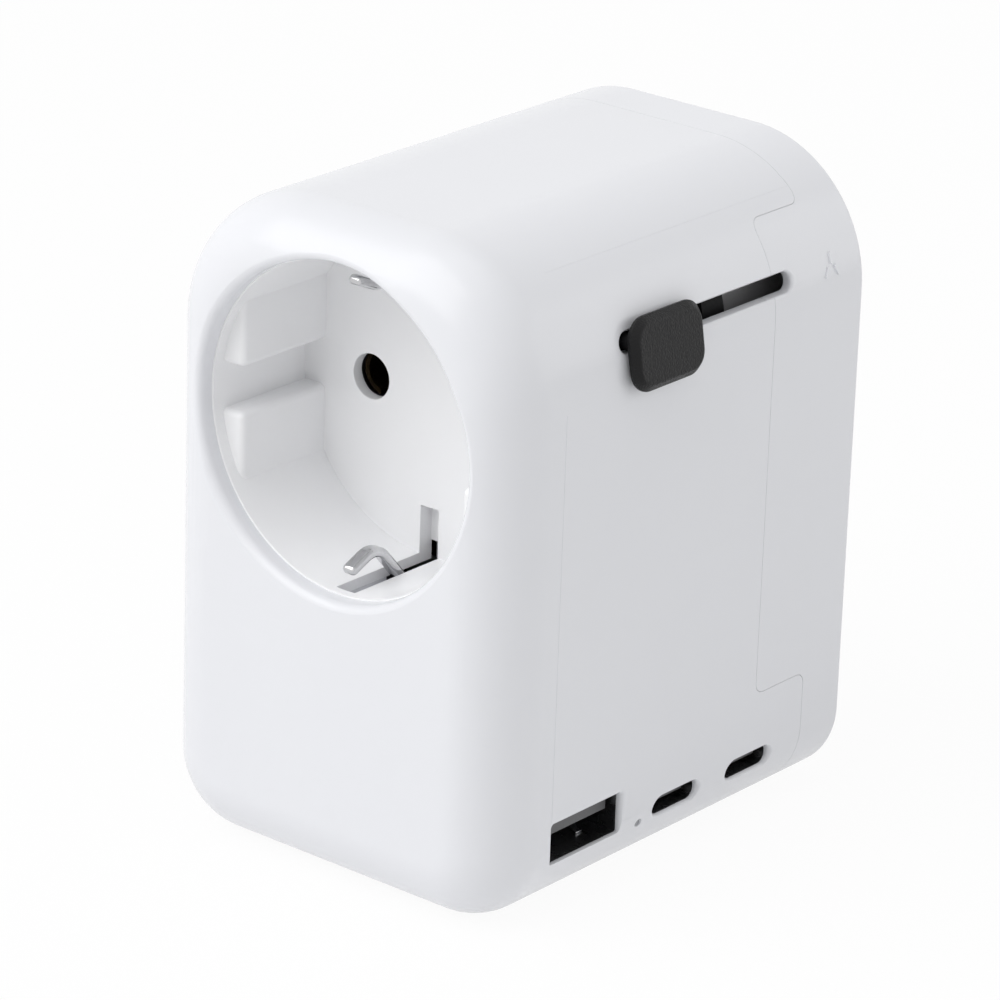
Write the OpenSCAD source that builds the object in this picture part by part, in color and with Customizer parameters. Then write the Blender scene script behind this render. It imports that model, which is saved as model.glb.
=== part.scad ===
// Travel adapter: a round plug socket on the front, charging ports on the right side
// and three plug sets that slide out of the rear face.
// Modules are drawn with y = 0 on the socket face; place() moves them to the part's frame.

/* [Body] */
// Width across the side walls
body_w = 52.4; // [47:0.2:62]
// Depth from the socket face to the rear face
body_d = 66; // [59:0.5:78]
// Height from the base to the top
body_h = 81; // [73:0.5:95]
// Thickness of the side, top and base walls
wall = 2.2; // [1.6:0.1:2.6]
// Thickness of the wall round the socket mouth
front_wall = 2.5; // [1.8:0.1:3.4]
// Radius of the rounded front edge
front_round = 8; // [4:0.5:9.5]
// Radius of the edge round the rear face
rear_round = 0.8; // [0.3:0.1:2]
// Radius of the two upper corners
top_corner = 17; // [11:0.5:19]
// Radius of the two lower corners
base_corner = 10; // [8.5:0.5:12]

/* [Rear cover] */
// Depth of the cover at the top and the base
cover_d = 8; // [6:0.5:11]
// How far the side ears reach forward of the cover's edge
ear_reach = 9.5; // [4:0.5:14]
// Height of the ears' lower edge above the base
ear_low = 17; // [14:0.5:30]
// Depth of the ears' upper edge below the top
ear_drop = 5.5; // [4.5:0.5:12]
// Radius of the seam's bend where an ear meets the cover
ear_fillet = 2; // [0.4:0.1:4]
// Thickness of the rear wall
rear_wall = 3; // [2:0.1:4]
// Gap of the seam between the housing and the cover
seam_gap = 0.15; // [0.05:0.05:0.3]

/* [Socket] */
// Depth of the socket's axis below the top
socket_drop = 25; // [24.5:0.1:30]
// Radius of the mouth in the front wall
mouth_r = 20.1; // [18:0.1:20.6]
// Radius of the rounded lip of the mouth
lip_round = 1.2; // [0.4:0.1:1.8]
// Inside radius of the cup
cup_r = 19.9; // [19:0.1:22]
// Thickness of the cup's round wall
cup_wall = 1.3; // [1:0.1:2]
// Depth of the cup's floor below the socket face
recess_depth = 18.3; // [15:0.1:22]
// Thickness of the cup's floor
cup_floor = 2.2; // [1.4:0.1:3.5]
// Length of the housing's collar round the cup
collar_len = 10.5; // [3:0.5:12]
// Wall of the collar round the cup
collar_wall = 1.8; // [1:0.1:2.6]
// Distance of the guide flats from the axis
guide_x = 16.6; // [15:0.1:18.5]
// Height of the channel between the guide flats
guide_gap = 5.6; // [4:0.1:8]
// Depth of the front end of the guide flats
guide_front = 4; // [3.2:0.1:8]
// Distance between the two pin holes
pin_pitch = 19; // [17.5:0.1:20]
// Radius of the pin holes
pin_hole_r = 2.75; // [2.5:0.05:3.2]
// Width of the earth slots
earth_slot_w = 2.8; // [2.4:0.1:4]
// Distance of the earth slots' inner end from the axis
earth_slot_in = 13.8; // [12:0.1:16]
// Depth of the earth slots in the cup's floor
earth_slot_deep = 1; // [0.6:0.1:1.1]

/* [Contacts] */
// Inside radius of the contact sleeves
sleeve_r = 2.45; // [2.3:0.01:2.6]
// Thickness of the sleeves
sheet = 0.6; // [0.4:0.05:0.8]
// How far the sleeves stand out behind the frame
sleeve_stand = 0.2; // [0:0.05:0.3]
// Slit along each sleeve
slit_w = 1; // [0.4:0.1:1.6]
// Rim of the bars' lugs round the sleeves
lug_rim = 1.4; // [0.8:0.1:1.8]
// Width of the bars
bar_w = 2.4; // [1.6:0.1:2.6]
// Thickness of the bars
bar_t = 1; // [0.6:0.1:1.4]
// Distance of the upright bars from the middle
bar_x = 12.6; // [12:0.1:14]
// Width of the earth clips
clip_w = 1.9; // [1.6:0.1:2.6]
// Thickness of the earth clips
clip_t = 1; // [0.6:0.05:1.2]
// Distance of the clips' crest from the axis
clip_crest = 16.3; // [14.5:0.1:17]
// Depth of the clips' crest below the socket face
crest_y = 8.1; // [7:0.1:9.5]
// Depth at which the clips leave the cup's wall
heel_y = 13.6; // [12.5:0.1:17]
// Radius of the clips' bend at the crest
crest_r = 2; // [1.2:0.1:3]
// Radius of the fuse
fuse_r = 2.5; // [2:0.1:3]
// Length of the fuse
fuse_len = 20; // [15:0.5:24]
// Depth of the fuse below the socket's axis
fuse_drop = 26; // [24:0.1:28]

/* [Slides] */
// Depth of the slanted-blade set's slot, on the right side, below the top
cn_slot_drop = 12.85; // [11:0.05:16]
// Height of that slot above the middle of its blades' pattern
cn_slot_rise = 5.5; // [5.4:0.1:8]
// Height of the flat-blade set's slot, on the left side, above its earth pin
us_slot_rise = 3; // [0:0.1:4]
// Height of the square-pin set's slot, on the left side, above its live pins
uk_slot_rise = 9.1; // [6:0.1:12]
// Gap between one plug set and the next one below it
set_gap = 0.8; // [0.4:0.1:2]
// Travel of the slanted-blade and flat-blade sets
blade_travel = 20; // [17:0.1:22]
// Travel of the square-pin set
uk_travel = 22.7; // [20:0.1:24]
// Height of the slots
slot_h = 2.4; // [2.2:0.1:4]
// Bevel round the slots
slot_bevel = 0.5; // [0.1:0.05:0.9]
// Thickness of the side walls round the slots
slot_skin = 1.3; // [1.1:0.1:1.6]
// Width of the thin wall beside a slot
slot_rim = 1.6; // [0.6:0.1:2]
// Length of the necks that pass through the slots
neck_len = 10.4; // [6:0.1:12]
// Height of the necks
neck_h = 1.8; // [1:0.1:1.9]
// Gap between a neck and the ends of its slot
neck_gap = 0.75; // [0.3:0.05:1]
// Distance of the necks' middle from the socket face at rest
knob_rest = 26.1; // [22:0.1:27]
// How far the knobs' middle lies behind the necks' middle
knob_back = 0.95; // [0:0.05:1.2]
// How far the knobs' middle lies below the slots' middle
knob_drop = 1.45; // [0:0.05:2]
// Length of a knob along the slot
knob_len = 13; // [11:0.2:15]
// Height of a knob across the slot
knob_h = 8.8; // [7:0.2:13]
// Thickness of a knob
knob_t = 1.3; // [1.1:0.1:4]
// Corner radius of a knob
knob_corner = 2.8; // [1.2:0.1:3.2]
// Bevel round a knob's face
knob_bevel = 0.5; // [0.3:0.1:0.7]
// Least gap between a knob and the side wall
knob_gap = 0.4; // [0.3:0.05:1]
// Thickness of the carriages' plates
plate_t = 4; // [3:0.1:5]
// Thickness of the arms along the side walls
arm_t = 2; // [1.4:0.1:2.4]
// Height of the arms
arm_h = 6.2; // [4:0.1:7]
// Depth of the arms' upper edge below their slots
arm_drop = 3; // [2:0.1:3.4]
// Gap between the carriages and the walls
arm_gap = 0.6; // [0.4:0.05:0.9]

/* [Plug pins] */
// Distance of the slanted blades from the pattern's middle
cn_live_r = 7.92; // [7.4:0.02:8.4]
// Distance of the upright earth blade from the pattern's middle
cn_earth_r = 10.3; // [9.8:0.05:10.6]
// Width of the slanted and upright blades
cn_blade_w = 6.3; // [5.6:0.05:6.6]
// Thickness of the slanted and upright blades
cn_blade_t = 1.6; // [1.2:0.05:2]
// How much shorter the slanted blades are than the upright one
cn_live_short = 2.5; // [0:0.1:4]
// Distance between the flat blades
us_pitch = 12.7; // [12.2:0.05:14]
// Distance from the flat blades up to their earth pin
us_earth_rise = 11.9; // [10.5:0.05:13]
// Width of the flat blades
us_blade_w = 6.35; // [5.6:0.05:7]
// Thickness of the flat blades
us_blade_t = 1.5; // [1.2:0.05:2]
// Radius of the round earth pin
us_earth_r = 2.4; // [2:0.05:2.7]
// How much shorter the flat blades are than their earth pin
us_live_short = 3; // [0:0.1:5]
// Distance between the two lower square pins
uk_pitch = 22.2; // [20:0.05:24]
// Distance from the lower square pins up to the earth pin
uk_earth_rise = 22.2; // [20.5:0.05:24]
// Width of the lower square pins
uk_pin_w = 6.35; // [5.6:0.05:7]
// Height of the lower square pins
uk_pin_h = 4; // [3.4:0.05:4.6]
// Width of the square earth pin
uk_earth_w = 4; // [3.4:0.05:4.6]
// Height of the square earth pin
uk_earth_h = 8; // [7:0.05:9]
// How much shorter the lower square pins are than the earth pin
uk_live_short = 5; // [0:0.1:7]
// Taper at the pins' tips
tip_taper = 1.1; // [0.5:0.05:1.4]
// Depth of the earth pins' tips inside the rear face at rest
tip_recess = 0.5; // [0.2:0.1:1.4]
// Gap round the pins in the rear wall
pin_gap = 0.35; // [0.3:0.05:0.6]
// Rim of the carriages round the pins
pin_rim = 0.9; // [0.6:0.05:1.2]

/* [Inner frame] */
// Thickness of the frame's plate
frame_t = 3; // [2:0.1:4]
// Side of the square rails
rail_s = 4; // [3.4:0.1:4.4]
// Gap between the rails and the arms
rail_side = 0.9; // [0.7:0.05:1.6]
// Depth of the slanted-blade set's rails below its slot
cn_rail_drop = 7.2; // [6.6:0.1:8]
// Height of the raised rear part of those rails
cn_rail_rise = 4; // [2:0.1:4.6]
// Length of that raised part
raised_len = 21; // [8:0.5:22]
// Gap between a carriage and its rails
rail_gap = 0.35; // [0.3:0.05:0.5]
// Wall of the carriages round their rails
rail_wall = 1.65; // [1:0.05:2]
// Height of the flat-blade carriage's bridge over the square earth pin
bridge_h = 3.6; // [2.4:0.1:5]
// Gap at the front and rear ends of the carriages' travel
end_gap = 0.6; // [0.4:0.1:1]
// Radius of the frame's round contact chamber
chamber_r = 17; // [16.6:0.1:18]
// Wall of the contact chamber
chamber_wall = 1.6; // [1:0.1:1.8]

/* [Charger] */
// Height of the board's upper face
board_top = 6.6; // [6.2:0.05:8]
// Thickness of the board
board_t = 1.6; // [1:0.1:2]
// Gap between the board and the side walls
board_gap = 2.2; // [1.8:0.1:2.6]
// Distance of the board's front edge from the socket face
board_front = 8.5; // [7:0.1:9]
// Distance of the wide port's middle from the socket face
usb_a_y = 17; // [15.4:0.1:17.5]
// Distance of the rear slim port's middle from the cover's seam
usb_c_inset = 10; // [6:0.1:13]
// Place of the front slim port between the wide port and the rear slim port
slim_share = 0.52; // [0.46:0.01:0.58]
// Place of the indicator between the wide port and the front slim port
lamp_share = 0.59; // [0.4:0.01:0.6]
// Width of the wide port's shell
usb_a_w = 13.3; // [12.6:0.1:14]
// Height of the wide port's shell
usb_a_h = 5.7; // [5.3:0.1:6.2]
// Length of the wide port's shell
usb_a_len = 13.2; // [10:0.2:15]
// Width of the slim ports' shells
usb_c_w = 8.94; // [8.6:0.02:9.6]
// Height of the slim ports' shells
usb_c_h = 3.2; // [2.9:0.02:3.6]
// Length of the slim ports' shells
usb_c_len = 8.6; // [6.6:0.2:10]
// Thickness of the ports' shells
shell_t = 0.35; // [0.2:0.05:0.5]
// Bevel round the ports' windows
port_bevel = 0.6; // [0.1:0.05:0.8]
// Depth of the ports' shells below the side face
port_sink = 0.45; // [0.3:0.05:0.7]
// Gap between the slim ports and what slides above them
port_gap = 0.75; // [0.4:0.05:2]
// Radius of the indicator
lamp_r = 0.5; // [0.3:0.05:0.6]
// Width of the transformer's core
core_w = 15; // [11:0.5:16]
// Depth of the transformer's core
core_d = 13; // [10:0.5:13.5]
// Height of the transformer's core
core_h = 15; // [10:0.5:17]
// Radius of the large capacitor
bulk_r = 4.9; // [4:0.1:5]
// Height of the large capacitor
bulk_h = 17; // [12:0.5:19]
// Radius of the small capacitor
out_r = 3.15; // [2.4:0.05:3.3]
// Height of the small capacitor
out_h = 11; // [7:0.5:16]

/* [Fasteners] */
// Radius of the screws' shanks
screw_r = 1.25; // [1:0.05:1.4]
// Radius of the screws' heads
screw_head_r = 2.3; // [1.9:0.1:2.5]
// Height of the screws' heads
screw_head_h = 1.4; // [1:0.1:1.8]
// Length of the screws' shanks below the head
screw_len = 9; // [6:0.5:10.5]
// Radius of the bosses that the frame is screwed to
boss_r = 2.8; // [2.6:0.1:3.2]
// Height of the two lower bosses above the base
boss_low = 30; // [28:0.5:34]

/* [Hidden] */
$fn = 64;

white = [0.91, 0.91, 0.93];
charcoal = [0.16, 0.16, 0.17];
black = [0.07, 0.07, 0.08];
brass = [0.78, 0.64, 0.34];
steel = [0.75, 0.76, 0.78];

// How far in from the side face the cover's ears may reach
ear_inset = 11;
// Longer than any size of the part, and the overlap of a cut past a face
far = 200;
past = 1;
// Share of a blade's thickness that its tip tapers off on each side
tip_share = 0.3;
// Clearances: of a seated piece, of a piece beside another, and of a screw head in its recess
snug = 0.05;
beside = 0.4;
head_gap = 0.3;

half_w = body_w / 2;
inner_w = half_w - wall;
seam_y = body_d - cover_d;
ear_y = seam_y - ear_reach;
ear_high = body_h - ear_drop;
ear_in = half_w - ear_inset;
rear_in = body_d - rear_wall;
tip_y = body_d - tip_recess;

socket_z = body_h - socket_drop;
cup_out = cup_r + cup_wall;
cup_back = recess_depth + cup_floor;
slot_bite = 1.2;
slot_lead = 0.3;

// Ends of a carriage plate at rest, for a given travel
function plate_back(travel) = rear_in - end_gap - travel;
function plate_front(travel) = plate_back(travel) - plate_t;

frame_back = plate_front(max(blade_travel, uk_travel)) - end_gap;
frame_front = frame_back - frame_t;
sleeve_front = cup_back + head_gap;
sleeve_back = frame_back + sleeve_stand;
sleeve_out = sleeve_r + sheet;

// Side to side: arms along the walls, rails inside them
arm_out = inner_w - arm_gap;
arm_in = arm_out - arm_t;
rail_x = arm_in - rail_side - rail_s / 2;
bar_half = rail_s / 2 + rail_gap + rail_wall;
neck_front = knob_rest - neck_len / 2;

// Square-pin set, from the ports up
uk_pin_z = board_top + usb_c_h + port_gap + bar_half;
uk_earth_z = uk_pin_z + uk_earth_rise;
uk_rail_z = uk_pin_z + uk_pin_h / 2 + pin_rim + rail_gap + rail_s / 2;
uk_slot_z = uk_pin_z + uk_slot_rise;
uk_stem_w = uk_earth_w + 4 * pin_rim;
frame_low = board_top + usb_c_h + port_gap;

// Flat-blade set, whose bridge passes over the square earth pin
bridge_low = uk_earth_z + uk_earth_h / 2 + pin_rim + set_gap;
us_earth_z = bridge_low + pin_rim + us_earth_r;
us_blade_z = us_earth_z - us_earth_rise;
us_blade_low = us_blade_z - us_blade_w / 2 - pin_rim;
us_rail_z = bridge_low + bridge_h - bar_half;
us_slot_z = us_earth_z + us_slot_rise;
us_leg_w = us_blade_t + 2 * pin_rim;
us_notch = us_pitch / 2 - us_leg_w / 2;

// Slanted-blade set, from the top down
slant = 30;
cn_slot_z = body_h - cn_slot_drop;
cn_z = cn_slot_z - cn_slot_rise;
cn_live_x = cn_live_r * cos(slant);
cn_live_z = cn_z - cn_live_r * sin(slant);
cn_earth_z = cn_z + cn_earth_r;
cn_earth_top = cn_earth_z + cn_blade_w / 2 + pin_rim;
cn_tab_w = cn_blade_w * sin(slant) + cn_blade_t * cos(slant) + 2 * pin_rim;
cn_tab_low = cn_live_z - cn_blade_w / 2 * cos(slant) - cn_blade_t / 2 * sin(slant) - pin_rim;
cn_stem_w = cn_blade_t + 6 * pin_rim;
cn_rail_z = cn_slot_z - cn_rail_drop;
rail_zs = [cn_rail_z, us_rail_z, uk_rail_z];
cover_posts = [cn_rail_z, uk_rail_z];

// Fuse and its clips on the front of the frame
fuse_z = socket_z - fuse_drop;
fuse_stand = 1;
fuse_y = frame_front - fuse_r - fuse_stand;
fuse_cap = 5;
fuse_clip_w = 3;
// Shares of the fuse's radius: reach of its clips past the middle, and half their mouth
clip_grip = 0.7;
clip_mouth = 0.8;

// Distance by which a corner of radius r draws the side in at a depth d past its start
function corner_dip(r, d) = d > 0 ? r - sqrt(r * r - d * d) : 0;
// Half width of the body at height z, and the slope of its side there
function face_x(z) = half_w - corner_dip(top_corner, z - body_h + top_corner)
    - corner_dip(base_corner, base_corner - z);
function face_slope(z) = asin(max(0, z - body_h + top_corner) / top_corner);

// Distance from the back of a knob at height z to its outermost edge, and the reach of all the knobs
function knob_out(z) = knob_t * cos(face_slope(z)) + (knob_h / 2 - knob_bevel) * sin(face_slope(z));
knob_zs = [for (z = [cn_slot_z, us_slot_z, uk_slot_z]) z - knob_drop];
knob_reach = max([for (z = knob_zs) face_x(z) + knob_gap + knob_out(z)]);

// Charger on the base
board_bottom = board_top - board_t;
board_half = inner_w - board_gap;
board_tail = 2.1;
usb_a_stand = 0.35;
usb_a_z = board_top + usb_a_stand + usb_a_h / 2;
usb_a_back = usb_a_y + usb_a_w / 2;
usb_a_face = face_x(usb_a_z - usb_a_h / 2) - port_sink;
usb_c_z = board_top + usb_c_h / 2;
usb_c_face = face_x(board_top) - port_sink;
usb_c_rear_y = seam_y - usb_c_inset;
usb_c_front_y = usb_a_back + slim_share * (usb_c_rear_y - usb_c_w / 2 - usb_a_back);
port_fit = 0.15;
tongue_back = 3;
tongue_short = 1;
// Tongues of the ports: side gap and thickness of the wide one, width and thickness of the slim ones
wide_tongue_gap = 0.7;
wide_tongue_t = 1.8;
slim_tongue_w = 6.7;
slim_tongue_t = 0.7;
lamp_y = usb_a_back + lamp_share * (usb_c_front_y - usb_c_w / 2 - usb_a_back);
lamp_z = board_top + lamp_r + snug;
lamp_sink = 0.3;
lamp_face = face_x(lamp_z) - lamp_sink;
lamp_inset = 2;
lamp_in = board_half - lamp_inset;
lamp_block = 1;
board_back = usb_c_rear_y + usb_c_w / 2 + board_tail;
foot_r = 2.5;
foot_side = 5.8;
foot_end = 4;
feet_x = [foot_side - board_half, 6];
feet_y = [28, board_back - foot_end];
bulk_at = [bulk_r + beside - board_half, board_front + bulk_r + head_gap];
can_side = 1.4;
out_at = [out_r + can_side - board_half, bulk_at[1] + bulk_r + head_gap + out_r];
core_gap = 0.6;
core_front = 1.5;
core_at = [bulk_at[0] + bulk_r + core_gap, board_front + core_front];
core_limb = 4;
core_foot = 1;
coil_out = 1;

// Bosses for the frame's screws, in the upper corners and on the side walls
boss_in = screw_head_r + head_gap;
corner_ring = top_corner - wall - boss_in;
boss_places = [[half_w - top_corner + corner_ring * sin(45), body_h - top_corner + corner_ring * cos(45)],
    [inner_w - boss_in, boss_low]];
head_sink = screw_head_h + head_gap;

module place() translate([0, -body_d / 2, 0]) children();

// Extrudes a flat x-z drawing from y0 back to y1
module along_y(y0, y1) translate([0, y1, 0]) rotate([90, 0, 0]) linear_extrude(y1 - y0) children();

// Extrudes a flat y-z drawing from x0 to x1
module along_x(x0, x1) translate([x0, 0, 0]) rotate([90, 0, 90]) linear_extrude(x1 - x0) children();

module bar(x0, x1, y0, y1, z0, z1) translate([x0, y0, z0]) cube([x1 - x0, y1 - y0, z1 - z0]);

// Mirrors its children to the left side where side is negative
module on_side(side) mirror([side < 0 ? 1 : 0, 0, 0]) children();

// Front view of the body, drawn in by inset
module outline(inset) {
    w = half_w - inset;
    top = body_h - inset;
    rt = top_corner - inset;
    rb = base_corner - inset;
    polygon([[w, inset + rb], [w, top - rt], [w - rt, top], [rt - w, top],
        [-w, top - rt], [-w, inset + rb], [rb - w, inset], [w - rb, inset]]);
    for (s = [-1, 1]) {
        translate([s * (w - rt), top - rt]) circle(rt);
        translate([s * (w - rb), inset + rb]) circle(rb);
    }
}

module quarter(r) intersection() {
    circle(r);
    square(r);
}

// Body from y0 to y1, drawn in by inset, with an edge of radius r round its face at y0
module rounded_body(inset, y0, y1, r) {
    w = half_w - inset;
    top = body_h - inset;
    rt = top_corner - inset;
    rb = base_corner - inset;
    along_y(y0 + r, y1) outline(inset);
    along_y(y0, y0 + r) outline(inset + r);
    for (s = [-1, 1]) {
        on_side(s) translate([w - r, y0 + r, inset + rb]) mirror([0, 1, 0])
            linear_extrude(top - rt - inset - rb) quarter(r);
        edge_corner([s * (w - rt), y0 + r, top - rt], rt, r, s, 1);
        edge_corner([s * (w - rb), y0 + r, inset + rb], rb, r, s, -1);
    }
    edge_bar([0, y0 + r, top - r], 2 * (w - rt), r, 1);
    edge_bar([0, y0 + r, inset + r], 2 * (w - rb), r, -1);
}

// Quarter-round edge along x; up is 1 at the top and -1 at the base
module edge_bar(at, len, r, up) translate(at) mirror([0, 0, up < 0 ? 1 : 0])
    along_x(-len / 2, len / 2) mirror([1, 0]) quarter(r);

// Corner of radius big whose front edge has radius r
module edge_corner(at, big, r, side, up) translate(at) on_side(side) mirror([0, 0, up < 0 ? 1 : 0])
    rotate([90, 0, 0]) rotate_extrude(angle = 90) translate([big - r, 0]) quarter(r);

module body_shell(y0, y1) along_y(y0, y1) difference() {
    outline(0);
    outline(wall);
}

// Side zones that belong to the cover's ears, widened by gap
module ear_zones(gap) for (s = [-1, 1]) on_side(s) along_x(ear_in, far) {
    translate([ear_y - gap, ear_low - gap]) square([far, ear_high - ear_low + 2 * gap]);
    translate([seam_y, ear_high]) ear_bend(gap);
    translate([seam_y, ear_low]) mirror([0, 1]) ear_bend(gap);
}

// Rounded bend of the seam where an ear meets the cover
module ear_bend(gap) difference() {
    translate([-ear_fillet, -ear_fillet]) square([ear_fillet + past, 2 * ear_fillet]);
    translate([-ear_fillet, ear_fillet]) circle(ear_fillet - gap);
}

// Slot with round ends through a side wall, bevelled on the outside
module wall_slot(side, y0, y1, z, h, bevel) on_side(side) {
    r = h / 2;
    reach = bevel + wall;
    round_ends = [y0 + r, y1 - r];
    translate([inner_w - wall, 0, z]) {
        bar(0, 3 * wall, y0 + r, y1 - r, -r, r);
        for (y = round_ends) translate([0, y, 0]) rotate([0, 90, 0]) cylinder(3 * wall, r, r);
    }
    translate([face_x(z) - bevel, 0, z]) {
        along_y(y0 + r, y1 - r) flare(r, reach);
        for (y = round_ends) translate([0, y, 0]) rotate([0, 90, 0]) cylinder(reach, r, r + reach);
    }
}

// Flat drawing of a bevel that opens along x from a half width of r
module flare(r, reach) polygon([[0, -r], [reach, -r - reach], [reach, r + reach], [0, r]]);

// Slot of a neck, with a thinner wall round it inside
module slide_slot(side, z, travel) {
    front = neck_front - neck_gap;
    back = neck_front + neck_len + travel + neck_gap;
    half = slot_h / 2 + slot_rim;
    wall_slot(side, front, back, z, slot_h, slot_bevel);
    on_side(side) intersection() {
        along_y(front - slot_rim, back + slot_rim) outline(slot_skin);
        bar(inner_w - wall, far, 0, far, z - half, z + half);
    }
}

module slide_slots() {
    slide_slot(1, cn_slot_z, blade_travel);
    slide_slot(-1, us_slot_z, blade_travel);
    slide_slot(-1, uk_slot_z, uk_travel);
}

// Window of a slim port over the opening of its shell, with a pocket for the shell behind it
module slim_window(y) {
    half = usb_c_w / 2 - shell_t;
    wall_slot(1, y - half, y + half, usb_c_z, usb_c_h - 2 * shell_t, port_bevel);
    translate([0, y, usb_c_z]) along_x(inner_w - wall, usb_c_face + snug) slim_section(-port_fit);
}

module wide_window() translate([0, usb_a_y, usb_a_z]) {
    w = usb_a_w / 2 - shell_t;
    h = usb_a_h / 2 - shell_t;
    bar(inner_w - wall, half_w + wall, -w, w, -h, h);
    translate([half_w - port_bevel, 0, 0]) intersection() {
        along_y(-far, far) flare(h, wall);
        linear_extrude(far, center = true) flare(w, wall);
    }
    along_x(inner_w - wall, usb_a_face + snug) wide_section(-port_fit);
}

module socket_bore(r, y0, y1) translate([0, y0, socket_z]) rotate([-90, 0, 0]) cylinder(y1 - y0, r, r);

module pin_bores(r, y0, y1) for (s = [-1, 1]) translate([s * pin_pitch / 2, 0, 0]) socket_bore(r, y0, y1);

module at_bosses() for (s = [-1, 1], p = boss_places) translate([s * p[0], 0, p[1]]) children();

module at_feet() for (x = feet_x, y = feet_y) translate([x, y, 0]) children();

module at_cover_screws() for (s = [-1, 1], z = cover_posts) translate([s * rail_x, 0, z]) children();

module front_housing() color(white) place() difference() {
    union() {
        difference() {
            rounded_body(0, 0, seam_y, front_round);
            rounded_body(wall, front_wall, seam_y + past, front_round - wall);
        }
        intersection() {
            rounded_body(0, 0, seam_y, front_round);
            union() {
                socket_bore(cup_out + collar_wall, front_wall / 2, front_wall + collar_len);
                at_bosses() along_y(front_wall / 2, frame_front) circle(boss_r);
                at_feet() translate([0, 0, wall / 2]) cylinder(board_bottom - wall / 2, foot_r, foot_r);
            }
        }
    }
    socket_bore(mouth_r, -past, front_wall + past);
    socket_bore(cup_out + snug, front_wall, cup_back + past);
    translate([0, 0, socket_z]) rotate([-90, 0, 0]) rotate_extrude() translate([mouth_r, 0]) difference() {
        translate([-past, -past]) square(lip_round + past);
        translate([lip_round, lip_round]) circle(lip_round);
    }
    ear_zones(seam_gap);
    slide_slots();
    wide_window();
    slim_window(usb_c_front_y);
    slim_window(usb_c_rear_y);
    translate([inner_w - wall, lamp_y, lamp_z]) rotate([0, 90, 0])
        cylinder(3 * wall, lamp_r + snug, lamp_r + snug);
    at_bosses() along_y(frame_front - screw_len, frame_front + past) circle(screw_r + snug);
    at_feet() translate([0, 0, wall]) cylinder(board_top, screw_r + snug, screw_r + snug);
}

module rear_cover() color(white) place() difference() {
    union() {
        difference() {
            translate([0, body_d, 0]) mirror([0, 1, 0]) rounded_body(0, 0, cover_d - seam_gap, rear_round);
            along_y(seam_y - past, rear_in) outline(wall);
        }
        intersection() {
            body_shell(ear_y, seam_y + past);
            ear_zones(0);
        }
    }
    slide_slots();
    along_y(rear_in - past, body_d + past) {
        cn_live_section(pin_gap);
        cn_earth_section(pin_gap);
        us_live_section(pin_gap);
        us_earth_section(pin_gap);
        uk_live_section(pin_gap);
        uk_earth_section(pin_gap);
    }
    at_cover_screws() {
        along_y(rear_in - past, body_d + past) circle(screw_r + snug);
        along_y(body_d - head_sink, body_d + past) circle(screw_head_r + snug);
    }
}

// Inside of the cup, narrowed by the guide flats except along the channel on each side
module cup_cavity() {
    socket_bore(cup_r, front_wall - past, guide_front);
    difference() {
        socket_bore(cup_r, guide_front - past, recess_depth);
        for (s = [-1, 1], t = [0, 1]) on_side(s) translate([0, 0, socket_z]) mirror([0, 0, t])
            bar(guide_x, far, guide_front, far, guide_gap / 2, far);
    }
}

module socket_cup() color(white) place() difference() {
    socket_bore(cup_out, front_wall, cup_back);
    cup_cavity();
    pin_bores(pin_hole_r, recess_depth - past, cup_back + past);
    for (s = [0, 1]) translate([0, 0, socket_z]) mirror([0, 0, s]) {
        bar(-earth_slot_w / 2, earth_slot_w / 2, guide_front - slot_lead, far, cup_r - slot_bite, far);
        bar(-earth_slot_w / 2, earth_slot_w / 2, recess_depth - past, recess_depth + earth_slot_deep,
            earth_slot_in, cup_r);
    }
}

module carrier_plate() difference() {
    intersection() {
        along_y(frame_front, frame_back) outline(wall + 2 * snug);
        bar(-far, far, 0, far, frame_low, far);
    }
    arm_path(1, cn_slot_z);
    arm_path(-1, us_slot_z);
    arm_path(-1, uk_slot_z);
}

// Room through the frame for an arm and its neck
module arm_path(side, slot_z) on_side(side)
    bar(arm_in - beside, far, 0, far, slot_z - arm_drop - arm_h - beside, slot_z + neck_h / 2 + beside);

module contact_carrier() color(charcoal) place() difference() {
    union() {
        carrier_plate();
        difference() {
            socket_bore(chamber_r, cup_back, frame_front + past);
            socket_bore(chamber_r - chamber_wall, cup_back - past, frame_front);
            bar(-earth_slot_w, earth_slot_w, 0, frame_front, socket_z - far / 2, socket_z + far / 2);
            bar(-far, far, frame_front - bar_t - snug, frame_front, 0, socket_z + bar_w / 2 + snug);
        }
        for (s = [-1, 1]) on_side(s) {
            for (z = rail_zs) rail(frame_front, z - rail_s / 2, z + rail_s / 2);
            rail(body_d - raised_len, cn_rail_z, cn_rail_z + rail_s / 2 + cn_rail_rise);
        }
    }
    pin_bores(sleeve_out, frame_front - past, frame_back + past);
    at_bosses() along_y(frame_front - past, frame_back + past) circle(screw_r + snug);
    at_cover_screws() along_y(rear_in - screw_len, rear_in + past) circle(screw_r + snug);
}

module rail(y0, z0, z1) bar(rail_x - rail_s / 2, rail_x + rail_s / 2, y0, rear_in, z0, z1);

module sleeve(side) color(brass) place() on_side(side) translate([pin_pitch / 2, 0, 0]) difference() {
    socket_bore(sleeve_out, sleeve_front, sleeve_back);
    socket_bore(sleeve_r, sleeve_front - past, sleeve_back + past);
    bar(-slit_w / 2, slit_w / 2, 0, far, socket_z - far, socket_z);
}

module line_contact() sleeve(1);

module neutral_contact() sleeve(-1);

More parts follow.
